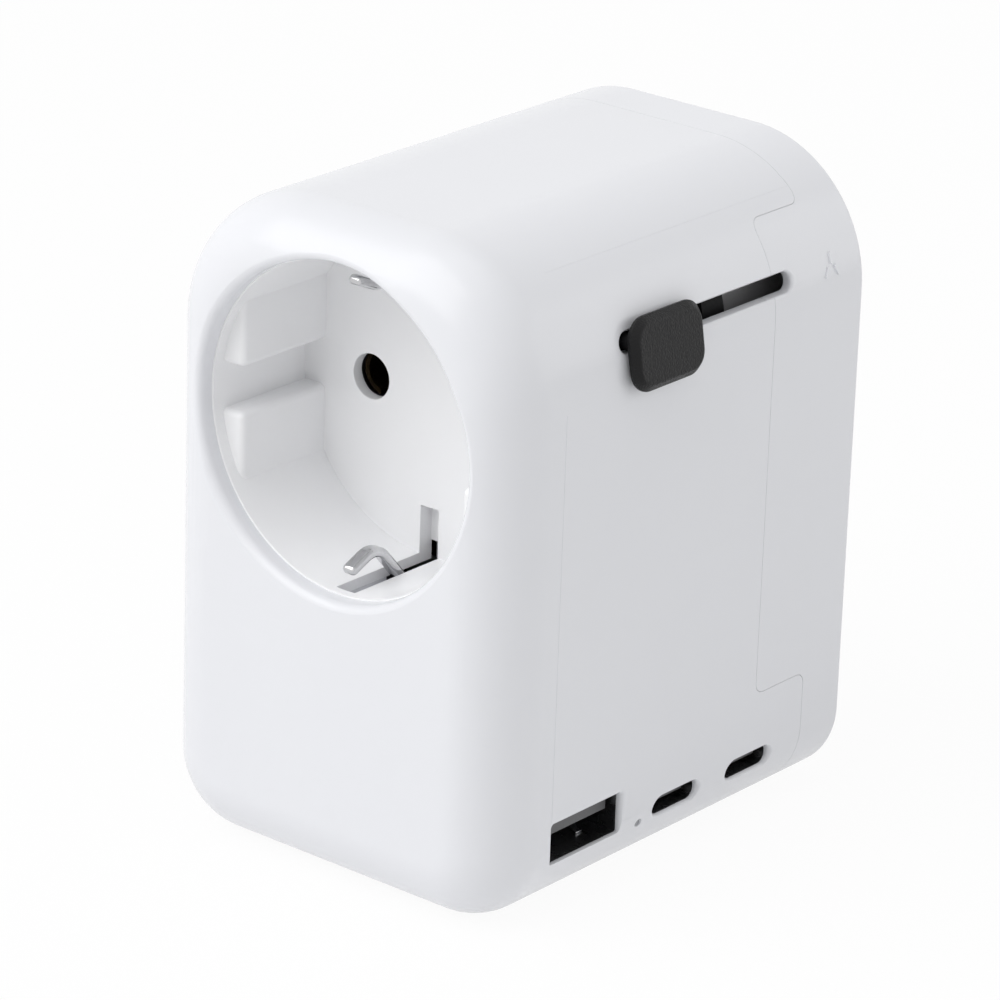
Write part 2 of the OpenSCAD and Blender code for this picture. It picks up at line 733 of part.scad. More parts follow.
// Stamped bar from a sleeve down the frame to the board
module supply_bar(side) color(brass) place() on_side(side) difference() {
    along_y(frame_front - bar_t, frame_front) {
        translate([pin_pitch / 2, socket_z]) circle(sleeve_out + lug_rim);
        translate([pin_pitch / 2, socket_z - bar_w / 2]) square([bar_x - pin_pitch / 2, bar_w]);
        translate([bar_x - bar_w / 2, board_top]) square([bar_w, socket_z + bar_w / 2 - board_top]);
    }
    translate([pin_pitch / 2, 0, 0]) socket_bore(sleeve_out, 0, far);
}

module line_bar() supply_bar(1);

module neutral_bar() supply_bar(-1);

// Bar behind the cup that joins the tails of the two earth clips
module earth_bar() color(brass) place() translate([0, 0, socket_z]) {
    reach = cup_out - slot_bite - 2 * clip_t;
    bar(-bar_w / 2, bar_w / 2, cup_back + clip_t, cup_back + clip_t + bar_t, -reach, reach);
}

// Strip between two points of a y-z drawing, with round ends
module strip(a, b, t) {
    d = b - a;
    translate(a) rotate(atan2(d[1], d[0])) translate([0, -t / 2]) square([norm(d), t]);
    translate(a) circle(t / 2);
    translate(b) circle(t / 2);
}

// Earth clip: from the back of the cup along its slot, round the crest to the free end
module earth_clip(up) color(steel) place() translate([0, 0, socket_z]) mirror([0, 0, up ? 0 : 1]) {
    run = cup_out - clip_t / 2 - slot_lead;
    tail = cup_back + clip_t / 2;
    heel = [1, 0.5];
    free_end = [4.2, 1.3];
    bend_from = -48;
    bend_step = 17;
    crest = [for (i = [0 : 4]) let (a = bend_from + i * bend_step)
        [crest_y - crest_r * sin(a), clip_crest + crest_r * (1 - cos(a))]];
    path = concat([[tail, earth_slot_in + clip_t], [tail, run], [heel_y, run], [heel_y, run] - heel],
        crest, [[crest_y - free_end[0], clip_crest + free_end[1]]]);
    along_x(-clip_w / 2, clip_w / 2) for (i = [0 : len(path) - 2]) strip(path[i], path[i + 1], clip_t);
}

module earth_clip_top() earth_clip(true);

module earth_clip_bottom() earth_clip(false);

module fuse() color([0.85, 0.88, 0.86]) place() translate([0, fuse_y, fuse_z]) rotate([0, 90, 0]) {
    cylinder(fuse_len - past, fuse_r - head_gap, fuse_r - head_gap, center = true);
    for (s = [-1, 1]) translate([0, 0, s * (fuse_len - fuse_cap) / 2])
        cylinder(fuse_cap, fuse_r, fuse_r, center = true);
}

module fuse_clips() color(brass) place() difference() {
    reach = fuse_r + sheet;
    for (s = [-1, 1]) translate([s * (fuse_len - fuse_cap) / 2, 0, fuse_z])
        bar(-fuse_clip_w / 2, fuse_clip_w / 2, fuse_y - fuse_r * clip_grip, frame_front, -reach, reach);
    translate([0, fuse_y, fuse_z]) rotate([0, 90, 0]) cylinder(far, fuse_r, fuse_r, center = true);
    bar(-far, far, 0, fuse_y, fuse_z - fuse_r * clip_mouth, fuse_z + fuse_r * clip_mouth);
}

// Cross-sections of the plug pins, drawn out by gap
module centred(w, h, gap) square([w + 2 * gap, h + 2 * gap], center = true);

module cn_live_section(gap) for (s = [-1, 1]) translate([s * cn_live_x, cn_live_z]) rotate(-s * slant)
    centred(cn_blade_t, cn_blade_w, gap);

module cn_earth_section(gap) translate([0, cn_earth_z]) centred(cn_blade_t, cn_blade_w, gap);

module us_live_section(gap) for (s = [-1, 1]) translate([s * us_pitch / 2, us_blade_z])
    centred(us_blade_t, us_blade_w, gap);

module us_earth_section(gap) translate([0, us_earth_z]) circle(us_earth_r + gap);

module uk_live_section(gap) for (s = [-1, 1]) translate([s * uk_pitch / 2, uk_pin_z])
    centred(uk_pin_w, uk_pin_h, gap);

module uk_earth_section(gap) translate([0, uk_earth_z]) centred(uk_earth_w, uk_earth_h, gap);

// Pin or blade along y, t across x and h across z, with a tip that tapers to both
module blade(t, h, y0, y1) intersection() {
    flat = min(tip_taper, t * tip_share);
    tip = y1 - tip_taper;
    along_x(-t / 2, t / 2) polygon([[y0, -h / 2], [tip, -h / 2], [y1, tip_taper - h / 2],
        [y1, h / 2 - tip_taper], [tip, h / 2], [y0, h / 2]]);
    linear_extrude(h, center = true) polygon([[-t / 2, y0], [t / 2, y0], [t / 2, tip],
        [t / 2 - flat, y1], [flat - t / 2, y1], [-t / 2, tip]]);
}

module cn_blades() color(brass) place() for (s = [-1, 1]) translate([s * cn_live_x, 0, cn_live_z])
    rotate([0, s * slant, 0]) blade(cn_blade_t, cn_blade_w, plate_front(blade_travel), tip_y - cn_live_short);

module cn_earth_blade() color(brass) place() translate([0, 0, cn_earth_z])
    blade(cn_blade_t, cn_blade_w, plate_front(blade_travel), tip_y);

module us_blades() color(brass) place() for (s = [-1, 1]) translate([s * us_pitch / 2, 0, us_blade_z])
    blade(us_blade_t, us_blade_w, plate_front(blade_travel), tip_y - us_live_short);

module us_earth_pin() color(brass) place() translate([0, 0, us_earth_z]) rotate([-90, 0, 0]) {
    shoulder = tip_y - us_earth_r;
    translate([0, 0, plate_front(blade_travel)])
        cylinder(shoulder - plate_front(blade_travel), us_earth_r, us_earth_r);
    translate([0, 0, shoulder]) rotate_extrude() quarter(us_earth_r);
}

module uk_pins() color(brass) place() for (s = [-1, 1]) translate([s * uk_pitch / 2, 0, uk_pin_z])
    blade(uk_pin_w, uk_pin_h, plate_front(uk_travel), tip_y - uk_live_short);

module uk_earth_pin() color(brass) place() translate([0, 0, uk_earth_z])
    blade(uk_earth_w, uk_earth_h, plate_front(uk_travel), tip_y);

// Plate of a carriage from a flat x-z drawing, with windows for its rails
module carriage_plate(travel, rail_z, rise) difference() {
    room = rail_s / 2 + rail_gap;
    along_y(plate_front(travel), plate_back(travel)) intersection() {
        outline(wall + arm_gap);
        union() children();
    }
    for (s = [-1, 1]) translate([s * rail_x, 0, rail_z]) bar(-room, room, 0, far, -room, room + rise);
}

// Arm along the side wall, with the neck that passes out through the slot
module arm(side, slot_z, travel) on_side(side) {
    top = slot_z - arm_drop;
    intersection() {
        along_y(0, body_d) outline(wall + arm_gap);
        union() {
            bar(arm_in, arm_out, neck_front, plate_back(travel), top - arm_h, top);
            bar(arm_in, arm_out, neck_front, neck_front + neck_len, top - past, slot_z);
        }
    }
    difference() {
        translate([0, knob_rest, slot_z]) along_x(arm_in, knob_reach) stadium(neck_len, neck_h);
        at_knob(slot_z) bar(0, far, -far, far, -far, far);
    }
}

// Flat drawing of the bar across a carriage, from wall to wall
module cross_bar(z0, z1) translate([-arm_out, z0]) square([2 * arm_out, z1 - z0]);

module cn_carriage() color(charcoal) place() difference() {
    union() {
        carriage_plate(blade_travel, cn_rail_z, cn_rail_rise) {
            cross_bar(cn_rail_z - bar_half, cn_rail_z + bar_half + cn_rail_rise);
            for (s = [-1, 1]) translate([s * cn_live_x - cn_tab_w / 2, cn_tab_low])
                square([cn_tab_w, cn_rail_z - cn_tab_low]);
            translate([-cn_stem_w / 2, cn_rail_z]) square([cn_stem_w, cn_earth_top - cn_rail_z]);
        }
        arm(1, cn_slot_z, blade_travel);
    }
    along_y(0, far) {
        cn_live_section(0);
        cn_earth_section(0);
    }
}

module us_carriage() color(charcoal) place() difference() {
    low = us_rail_z - bar_half;
    union() {
        carriage_plate(blade_travel, us_rail_z, 0) difference() {
            union() {
                cross_bar(low, bridge_low + bridge_h);
                for (s = [-1, 1]) translate([s * us_pitch / 2 - us_leg_w / 2, us_blade_low])
                    square([us_leg_w, us_rail_z - us_blade_low]);
                translate([0, us_earth_z]) circle(us_earth_r + pin_rim);
            }
            translate([-us_notch, low - past]) square([2 * us_notch, bridge_low - low + past]);
        }
        arm(-1, us_slot_z, blade_travel);
    }
    along_y(0, far) {
        us_live_section(0);
        us_earth_section(0);
    }
}

module uk_carriage() color(charcoal) place() difference() {
    union() {
        carriage_plate(uk_travel, uk_rail_z, 0) {
            cross_bar(uk_pin_z - bar_half, uk_rail_z + bar_half);
            translate([-uk_stem_w / 2, uk_pin_z])
                square([uk_stem_w, uk_earth_rise + uk_earth_h / 2 + pin_rim]);
        }
        arm(-1, uk_slot_z, uk_travel);
    }
    along_y(0, far) {
        uk_live_section(0);
        uk_earth_section(0);
    }
}

// One layer of a knob from x0 to x1, drawn in by shrink
module knob_layer(shrink, x0, x1) along_x(x0, x1) for (i = [-1, 1], j = [-1, 1])
    translate([i * (knob_len / 2 - knob_corner), j * (knob_h / 2 - knob_corner)])
        circle(knob_corner - shrink, $fn = 32);

// Moves its children to the back of a knob, which lies along the side's slope
module at_knob(slot_z) {
    z = slot_z - knob_drop;
    translate([knob_reach - knob_out(z), knob_rest + knob_back, z]) rotate([0, -face_slope(z), 0]) children();
}

// Thumb knob: rounded plate with a bevelled face and a small bevel behind
module knob(side, slot_z) color(charcoal) place() on_side(side) at_knob(slot_z) hull() {
    back_bevel = 0.2;
    knob_layer(back_bevel, 0, back_bevel);
    knob_layer(0, back_bevel, knob_t - knob_bevel);
    knob_layer(knob_bevel, knob_t - knob_bevel, knob_t);
}

module cn_knob() knob(1, cn_slot_z);

module us_knob() knob(-1, us_slot_z);

module uk_knob() knob(-1, uk_slot_z);

module circuit_board() color([0.1, 0.32, 0.2]) place() difference() {
    bar(-board_half, board_half, board_front, board_back, board_bottom, board_top);
    at_feet() cylinder(far, screw_r + snug, screw_r + snug);
}

// Flat drawing of the wide port's opening, drawn in by inset
module wide_section(inset) square([usb_a_w - 2 * inset, usb_a_h - 2 * inset], center = true);

module usb_a_shell() color(steel) place() translate([0, usb_a_y, usb_a_z]) difference() {
    along_x(usb_a_face - usb_a_len, usb_a_face) wide_section(0);
    along_x(usb_a_face - usb_a_len + shell_t, usb_a_face + past) wide_section(shell_t);
}

// Contact tongue in the upper half of the wide port, on a block at its back
module usb_a_tongue() color(black) place() translate([0, usb_a_y, usb_a_z]) {
    back = usb_a_face - usb_a_len + shell_t;
    tongue_w = usb_a_w - 2 * shell_t - 2 * wide_tongue_gap;
    along_x(back, back + tongue_back) wide_section(shell_t);
    along_x(back, usb_a_face - tongue_short) translate([-tongue_w / 2, head_gap])
        square([tongue_w, wide_tongue_t]);
}

module stadium(w, h) {
    square([w - h, h], center = true);
    for (s = [-1, 1]) translate([s * (w - h) / 2, 0]) circle(h / 2);
}

// Flat drawing of a slim port's shell, drawn in by inset
module slim_section(inset) stadium(usb_c_w - 2 * inset, usb_c_h - 2 * inset);

module usb_c_shell(y) color(steel) place() translate([0, y, usb_c_z]) difference() {
    along_x(usb_c_face - usb_c_len, usb_c_face) slim_section(0);
    along_x(usb_c_face - usb_c_len + shell_t, usb_c_face + past) slim_section(shell_t);
}

module usb_c_tongue(y) color(black) place() translate([0, y, usb_c_z]) {
    back = usb_c_face - usb_c_len + shell_t;
    along_x(back, back + tongue_back) slim_section(shell_t);
    along_x(back, usb_c_face - tongue_short) square([slim_tongue_w, slim_tongue_t], center = true);
}

module usb_c_front_shell() usb_c_shell(usb_c_front_y);

module usb_c_front_tongue() usb_c_tongue(usb_c_front_y);

module usb_c_rear_shell() usb_c_shell(usb_c_rear_y);

module usb_c_rear_tongue() usb_c_tongue(usb_c_rear_y);

module indicator_lamp() color([0.9, 0.95, 1]) place()
    bar(lamp_in - 1.5 * lamp_block, lamp_in, lamp_y - lamp_block / 2, lamp_y + lamp_block / 2,
        board_top, board_top + lamp_block);

module light_pipe() color([0.95, 0.96, 0.97]) place() translate([lamp_in, lamp_y, lamp_z]) rotate([0, 90, 0])
    cylinder(lamp_face - lamp_in, lamp_r, lamp_r);

// Ferrite core on four feet, with a wound middle limb that stands out at both ends
module transformer() color([0.2, 0.2, 0.21]) place() translate([core_at[0], core_at[1], board_top]) {
    window_w = core_w - 2 * core_limb;
    window_h = core_h - 1.5 * core_limb;
    window_z = core_foot + core_limb * 0.75;
    translate([0, 0, core_foot]) cube([core_w, core_d, core_h]);
    foot = 2 * core_foot;
    translate([core_limb, -coil_out, window_z]) cube([window_w, core_d + 2 * coil_out, window_h]);
    for (x = [core_foot, core_w - core_foot - foot], y = [core_foot, core_d - core_foot - foot])
        translate([x, y, 0]) cube(foot);
}

module can(at, r, h) color([0.14, 0.16, 0.3]) place() translate([at[0], at[1], board_top]) cylinder(h, r, r);

module bulk_capacitor() can(bulk_at, bulk_r, bulk_h);

module output_capacitor() can(out_at, out_r, out_h);

// Cross-slotted screw with the underside of its head at the origin and its shank along -z
module screw(len) {
    cross = [2.6, 0.6, 0.7];
    translate([0, 0, -len]) cylinder(len, screw_r, screw_r);
    difference() {
        cylinder(screw_head_h, screw_head_r, screw_head_r);
        for (a = [0, 90]) rotate(a) translate([-cross[0] / 2, -cross[1] / 2, screw_head_h - cross[2]])
            cube([cross[0], cross[1], far]);
    }
}

module cover_screws() color(steel) place() at_cover_screws()
    translate([0, body_d - head_sink, 0]) rotate([-90, 0, 0]) screw(screw_len);

module carrier_screws() color(steel) place() at_bosses()
    translate([0, frame_back, 0]) rotate([-90, 0, 0]) screw(screw_len);

module board_screws() color(steel) place() at_feet()
    translate([0, 0, board_top]) screw(board_top - wall - beside);

front_housing();
rear_cover();
socket_cup();
contact_carrier();
line_contact();
neutral_contact();
line_bar();
neutral_bar();
earth_bar();
earth_clip_top();
earth_clip_bottom();
fuse();
fuse_clips();
cn_knob();
cn_carriage();
cn_blades();
cn_earth_blade();
us_knob();
us_carriage();
us_blades();
us_earth_pin();
uk_knob();
uk_carriage();
uk_pins();
uk_earth_pin();
circuit_board();
usb_a_shell();
usb_a_tongue();
usb_c_front_shell();
usb_c_front_tongue();
usb_c_rear_shell();
usb_c_rear_tongue();
indicator_lamp();
light_pipe();
transformer();
bulk_capacitor();
output_capacitor();
cover_screws();
carrier_screws();
board_screws();
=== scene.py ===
import math

import bmesh
import bpy
from mathutils import Matrix, Vector


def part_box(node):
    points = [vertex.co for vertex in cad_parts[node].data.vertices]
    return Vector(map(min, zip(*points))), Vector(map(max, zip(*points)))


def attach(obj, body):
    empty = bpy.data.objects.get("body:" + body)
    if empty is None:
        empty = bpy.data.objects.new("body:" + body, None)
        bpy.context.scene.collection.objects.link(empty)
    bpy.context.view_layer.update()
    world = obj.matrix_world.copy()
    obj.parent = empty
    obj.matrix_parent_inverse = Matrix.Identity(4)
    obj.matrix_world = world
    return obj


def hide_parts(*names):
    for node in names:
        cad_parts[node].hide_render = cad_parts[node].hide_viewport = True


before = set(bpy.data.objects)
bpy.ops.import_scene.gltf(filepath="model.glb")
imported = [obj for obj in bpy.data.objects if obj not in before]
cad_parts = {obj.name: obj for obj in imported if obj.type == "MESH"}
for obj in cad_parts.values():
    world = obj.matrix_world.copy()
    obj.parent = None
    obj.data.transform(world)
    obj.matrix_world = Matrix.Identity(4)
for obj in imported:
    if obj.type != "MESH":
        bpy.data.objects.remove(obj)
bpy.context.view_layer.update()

# Front housing: one white ABS moulding from a polished mould, with a wide rounded front edge. The socket,
# the charger and the inner frame are fitted into it from behind, through its open rear end.
mm = 0.001
housing_low, housing_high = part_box("front_housing")
face_y = housing_low.y
seam_y = housing_high.y
half_w = housing_high.x
body_h = housing_high.z
wall = 2.2 * mm
front_wall = 2.5 * mm
top_corner = 17 * mm
base_corner = 10 * mm
front_round = 8 * mm
socket_z = body_h - 25 * mm
mouth_r = 20.1 * mm
mouth_lip = 1.2 * mm
cup_out = 21.2 * mm
collar_out = cup_out + 1.8 * mm
collar_back = face_y + 12.5 * mm
spring_way = 2.8 * mm
way_front = face_y + 3.7 * mm
way_deep = 0.7 * mm
# Clearance of fitted pieces, and how far a mesh or cutter runs past the seam, past a surface and through a wall
fit = 0.05 * mm
trim = 2 * mm
spare = 5 * mm
through = 6 * mm


def near(a, b):
    return abs(a - b) < 1e-6


def pick(piece, kind, wanted):
    """Opens a piece in edit mode and selects its VERTs, EDGEs or FACEs by place and by normal or run."""
    bpy.ops.object.select_all(action="DESELECT")
    piece.select_set(True)
    bpy.context.view_layer.objects.active = piece
    bpy.ops.object.mode_set(mode="EDIT")
    bpy.ops.mesh.select_mode(type=kind)
    bpy.ops.mesh.select_all(action="DESELECT")
    mesh = bmesh.from_edit_mesh(piece.data)
    if kind == "VERT":
        chosen = [v for v in mesh.verts if wanted(v.co, v.normal)]
    elif kind == "EDGE":
        ends = [(e, e.verts[0].co, e.verts[1].co) for e in mesh.edges]
        chosen = [e for e, a, b in ends if wanted((a + b) / 2, b - a)]
    else:
        chosen = [f for f in mesh.faces if wanted(f.calc_center_median(), f.normal)]
    for part in chosen:
        part.select_set(True)
    mesh.select_flush_mode()
    bmesh.update_edit_mesh(piece.data)


def everything(place, direction):
    return True


def leave_edit():
    bpy.ops.object.mode_set(mode="OBJECT")


def push(x, y, z):
    """Extrudes what is selected by a step along the axes."""
    bpy.ops.mesh.extrude_region_move(TRANSFORM_OT_translate={"value": (x, y, z)})


def block(name, low, high):
    """Box between two corners, with its place in its mesh."""
    bpy.ops.object.select_all(action="DESELECT")
    middle = [(a + b) / 2 for a, b in zip(low, high)]
    bpy.ops.mesh.primitive_cube_add(size=1, location=middle, scale=[b - a for a, b in zip(low, high)])
    piece = bpy.context.object
    piece.name = name
    bpy.ops.object.transform_apply(location=True, rotation=True, scale=True)
    return piece


def drum(name, radius, y0, y1, x=0, z=0, sides=160):
    """Cylinder along the depth of the body, from y0 back to y1."""
    bpy.ops.object.select_all(action="DESELECT")
    bpy.ops.mesh.primitive_cylinder_add(vertices=sides, radius=radius, depth=y1 - y0,
                                        location=(x, (y0 + y1) / 2, z), rotation=(math.pi / 2, 0, 0))
    piece = bpy.context.object
    piece.name = name
    bpy.ops.object.transform_apply(location=True, rotation=True, scale=True)
    return piece


def body_block(name, inset, y0, y1, edge_y=None, edge_round=0):
    """The body's outline drawn in by inset, from y0 to y1, with a round edge about its end at edge_y."""
    piece = block(name, (inset - half_w, y0, inset), (half_w - inset, y1, body_h - inset))
    for top, radius in ((True, top_corner), (False, base_corner)):
        pick(piece, "EDGE", lambda place, run: run.y != 0 and (place.z > body_h / 2) == top)
        bpy.ops.mesh.bevel(offset=radius - inset, segments=28, profile=0.5, affect="EDGES")
        leave_edit()
    if edge_round:
        pick(piece, "EDGE", lambda place, run: near(place.y, edge_y) and near(run.y, 0))
        bpy.ops.mesh.bevel(offset=edge_round, segments=14, profile=0.5, affect="EDGES")
        leave_edit()
    return piece


def combine(piece, other, operation="DIFFERENCE"):
    """Cuts another mesh out of a piece, or joins it, and removes the other mesh."""
    step = piece.modifiers.new(operation.lower(), "BOOLEAN")
    step.operation = operation
    step.solver = "EXACT"
    step.object = other
    bpy.ops.object.select_all(action="DESELECT")
    bpy.context.view_layer.objects.active = piece
    bpy.ops.object.modifier_apply(modifier=step.name)
    bpy.data.objects.remove(other)


def mouth_cutter(body):
    """Cutter of the socket mouth: its rounded lip is laid onto the body's front, rounded edge and all."""
    stand = 3 * mm
    ease = 0.03 * mm
    deep = 4 * mm
    angles = [math.radians(step) for step in (0, 14, 28, 42, 56, 72, 90)]
    bpy.ops.object.select_all(action="DESELECT")
    bpy.ops.mesh.primitive_circle_add(vertices=192, radius=mouth_r + mouth_lip, fill_type="NGON",
                                      location=(0, face_y - stand, socket_z), rotation=(math.pi / 2, 0, 0))
    cutter = bpy.context.object
    cutter.name = "mouth"
    bpy.ops.object.transform_apply(location=True, rotation=True, scale=True)
    pick(cutter, "FACE", everything)
    for a, b in zip(angles, angles[1:]):
        bpy.ops.mesh.inset(thickness=mouth_lip * (math.sin(b) - math.sin(a)), depth=0)
    leave_edit()
    laid = cutter.modifiers.new("laid_on", "SHRINKWRAP")
    laid.target = body
    laid.wrap_method = "PROJECT"
    laid.use_project_y = True
    laid.use_positive_direction = True
    bpy.ops.object.modifier_apply(modifier=laid.name)
    for angle in angles:
        ring = mouth_r + mouth_lip * (1 - math.sin(angle))
        pick(cutter, "VERT", lambda place, normal: abs(math.hypot(place.x, place.z - socket_z) - ring) < 0.01 * mm)
        bpy.ops.transform.translate(value=(0, mouth_lip * (1 - math.cos(angle)) - ease, 0))
        leave_edit()
    pick(cutter, "FACE", everything)
    push(0, -2 * stand, 0)
    leave_edit()
    pick(cutter, "FACE", lambda place, normal: place.y > face_y - mm and math.hypot(place.x, place.z - socket_z) < mm)
    push(0, deep, 0)
    bpy.ops.mesh.select_all(action="SELECT")
    bpy.ops.mesh.normals_make_consistent(inside=False)
    leave_edit()
    return cutter


def drill(name, width, tall, corner, lip, deep, place, sides=64, stand=2 * mm):
    """Cutter of a hole with a rounded lip along the local z of place, or a raised mark where stand is small."""
    bpy.ops.object.select_all(action="DESELECT")
    if width == tall and corner >= width / 2:
        bpy.ops.mesh.primitive_circle_add(vertices=sides, radius=width / 2 + lip, fill_type="NGON")
        cutter = bpy.context.object
    else:
        bpy.ops.mesh.primitive_plane_add(size=1, location=(0, 0, 0))
        cutter = bpy.context.object
        cutter.scale = (width + 2 * lip, tall + 2 * lip, 1)
        bpy.ops.object.transform_apply(location=True, rotation=True, scale=True)
        if corner + lip:
            pick(cutter, "VERT", everything)
            bpy.ops.mesh.bevel(offset=corner + lip, segments=sides // 4, profile=0.5, affect="VERTICES")
            bpy.ops.mesh.select_all(action="SELECT")
            bpy.ops.mesh.remove_doubles(threshold=0.02 * mm)
            leave_edit()
    cutter.name = name
    pick(cutter, "FACE", everything)
    bpy.ops.transform.translate(value=(0, 0, -stand))
    push(0, 0, stand)
    steps = 6 if lip else 0
    for step in range(steps):
        a, b = step / steps * math.pi / 2, (step + 1) / steps * math.pi / 2
        bpy.ops.mesh.inset(thickness=lip * (math.sin(b) - math.sin(a)), depth=lip * (math.cos(a) - math.cos(b)))
    push(0, 0, deep - lip)
    bpy.ops.mesh.select_all(action="SELECT")
    bpy.ops.mesh.normals_make_consistent(inside=False)
    leave_edit()
    cutter.matrix_world = place
    bpy.ops.object.transform_apply(location=True, rotation=True, scale=True)
    return cutter


def aim(at, inward, across):
    """Placing of a cutter: at a point, drilling inward, with its width along across."""
    up = inward.cross(across)
    return Matrix([(across[i], up[i], inward[i], at[i]) for i in range(3)] + [(0, 0, 0, 1)])


def side_place(side, y, z, follow=True, turn=0):
    """Placing on a side wall at height z; on the rounded corners it can follow the surface."""
    lean = math.asin(max(0, (z - body_h + top_corner) / top_corner))
    lean -= math.asin(max(0, (base_corner - z) / base_corner))
    x = half_w - (top_corner if lean > 0 else base_corner) * (1 - math.cos(lean))
    if not follow:
        lean = 0
    inward = Vector((-side * math.cos(lean), 0, -math.sin(lean)))
    return aim((side * x, y, z), inward, Vector((0, -side, 0))) @ Matrix.Rotation(turn, 4, "Z")


def smooth(piece, angle=32):
    """Closes the seams of a mesh, turns its faces outwards and shades its gentle bends smooth."""
    pick(piece, "VERT", everything)
    bpy.ops.mesh.remove_doubles(threshold=0.0005 * mm)
    bpy.ops.mesh.normals_make_consistent(inside=False)
    leave_edit()
    bpy.ops.object.shade_smooth_by_angle(angle=math.radians(angle))
    flats = piece.modifiers.new("flat_faces", "WEIGHTED_NORMAL")
    flats.keep_sharp = True
    bpy.ops.object.modifier_apply(modifier=flats.name)


# Sizes of the slots, which the plug sets' necks slide in, and of the seam with the rear cover
slot_h = 2.4 * mm
slot_lip = 0.5 * mm
slot_skin = 1.3 * mm
slot_rim = 1.6 * mm
slot_depth = 4.5 * mm
slot_front = face_y + 20.15 * mm
slot_back = {"cn": face_y + 52.05 * mm, "us": face_y + 52.05 * mm, "uk": face_y + 54.75 * mm}
slot_side = {"cn": 1, "us": -1, "uk": -1}
slot_z = {"cn": 68.15 * mm, "us": 48.75 * mm, "uk": 23.65 * mm}
seam_gap = 0.05 * mm
lap = 1.2 * mm
lap_skin = 0.2 * mm
lap_back = 3 * mm
ear_front = face_y + 48.5 * mm
ear_low = 17 * mm
ear_high = body_h - 5.5 * mm
ear_in = half_w - 11 * mm
ear_bend = 1.4 * mm


def cover_zone(name, seam, front, low, high):
    """The cover's share of the body: all behind the seam, and the ears that reach forward on both sides."""
    reach = 60 * mm
    behind = 4 * mm
    margin = 5 * mm
    side_reach = 40 * mm
    zone = block(name, (-reach, seam, -reach), (reach, seam + reach, 2 * reach))
    for side in (-1, 1):
        bpy.ops.object.select_all(action="DESELECT")
        bpy.ops.mesh.primitive_plane_add(size=1, rotation=(0, math.pi / 2, 0),
                                         location=(side * ear_in, seam + behind / 2, (low + high) / 2))
        ear = bpy.context.object
        ear.scale = (high - low + 2 * margin, behind, 1)
        bpy.ops.object.transform_apply(location=True, rotation=True, scale=True)
        for z in (low, high):
            pick(ear, "FACE", everything)
            bpy.ops.mesh.bisect(plane_co=(0, 0, z), plane_no=(0, 0, 1))
            leave_edit()
        pick(ear, "EDGE", lambda place, run: near(place.y, seam) and low < place.z < high)
        push(0, front - seam, 0)
        leave_edit()
        pick(ear, "FACE", everything)
        bpy.ops.mesh.dissolve_faces()
        leave_edit()
        pick(ear, "VERT", lambda place, normal: (near(place.z, low) or near(place.z, high))
             and (near(place.y, front) or near(place.y, seam)))
        bpy.ops.mesh.bevel(offset=ear_bend, segments=6, profile=0.5, affect="VERTICES")
        leave_edit()
        pick(ear, "FACE", everything)
        push(side * side_reach, 0, 0)
        bpy.ops.mesh.select_all(action="SELECT")
        bpy.ops.mesh.normals_make_consistent(inside=False)
        leave_edit()
        combine(zone, ear, "UNION")
    return zone


def lap_zone(name, inset, reach):
    """The cover's tongue, which reaches forward behind the seam under the housing's outer skin."""
    tongue = body_block(name, inset, ear_front - spare, seam_y + lap_back)
    combine(tongue, cover_zone("share", seam_y - reach, ear_front - reach, ear_low - reach, ear_high + reach),
            "INTERSECT")
    return tongue


def open_side(piece, side, y, z, width, tall, corner, lip):
    """Opening straight through a side wall; where the wall is curved, its lip follows the surface."""
    ease = 0.03 * mm
    level = side_place(side, y, z, follow=False)
    if base_corner - mm < z < body_h - top_corner:
        combine(piece, drill("opening", width, tall, corner, lip, through, level, sides=48))
    else:
        combine(piece, drill("opening", width, tall, corner, 0, through, level, sides=48))
        tilted = side_place(side, y, z)
        rise = -lip * tilted[2][2] / tilted[2][1]
        combine(piece, drill("lip", width + ease, tall + ease, corner + ease / 2, lip, lip + fit,
                             tilted @ Matrix.Translation((0, rise, 0)), sides=48))


def cut_slots(piece):
    """The three slots, which run through the housing and on into the cover's ears, with a thin wall about each."""
    for name, side in slot_side.items():
        tall = slot_h / 2 + slot_rim
        thinned = body_block("thinned", slot_skin, slot_front - slot_rim, slot_back[name] + slot_rim)
        xs = sorted((side * (half_w - slot_depth), side * 2 * half_w))
        combine(thinned, block("band", (xs[0], face_y, slot_z[name] - tall), (xs[1], -face_y, slot_z[name] + tall)),
                "INTERSECT")
        combine(piece, thinned)
        open_side(piece, side, (slot_front + slot_back[name]) / 2, slot_z[name], slot_back[name] - slot_front, slot_h,
                  slot_h / 2, slot_lip)


front_shell = body_block("front_shell", 0, face_y, seam_y + trim, face_y, front_round)
mouth = mouth_cutter(front_shell)
combine(front_shell, body_block("hollow", wall, face_y + front_wall, seam_y + spare, face_y + front_wall,
                                front_round - wall))
collar = drum("collar", collar_out, face_y + front_wall / 2, collar_back, z=socket_z)
combine(collar, body_block("core", mm, face_y + mm, seam_y, face_y + mm, front_round - mm), "INTERSECT")
combine(front_shell, collar, "UNION")
combine(front_shell, drum("cup_seat", cup_out + fit, face_y + front_wall, collar_back + spare, z=socket_z))
for end in (-1, 1):
    zs = sorted((socket_z + end * (cup_out - mm), socket_z + end * (cup_out + way_deep)))
    combine(front_shell, block("spring_way", (-spring_way / 2, way_front, zs[0]),
                               (spring_way / 2, collar_back + mm, zs[1])))
combine(front_shell, mouth)
combine(front_shell, cover_zone("ears", seam_y, ear_front - seam_gap, ear_low - seam_gap, ear_high + seam_gap))
combine(front_shell, lap_zone("rebate", lap_skin, lap + 2 * fit))
cut_slots(front_shell)

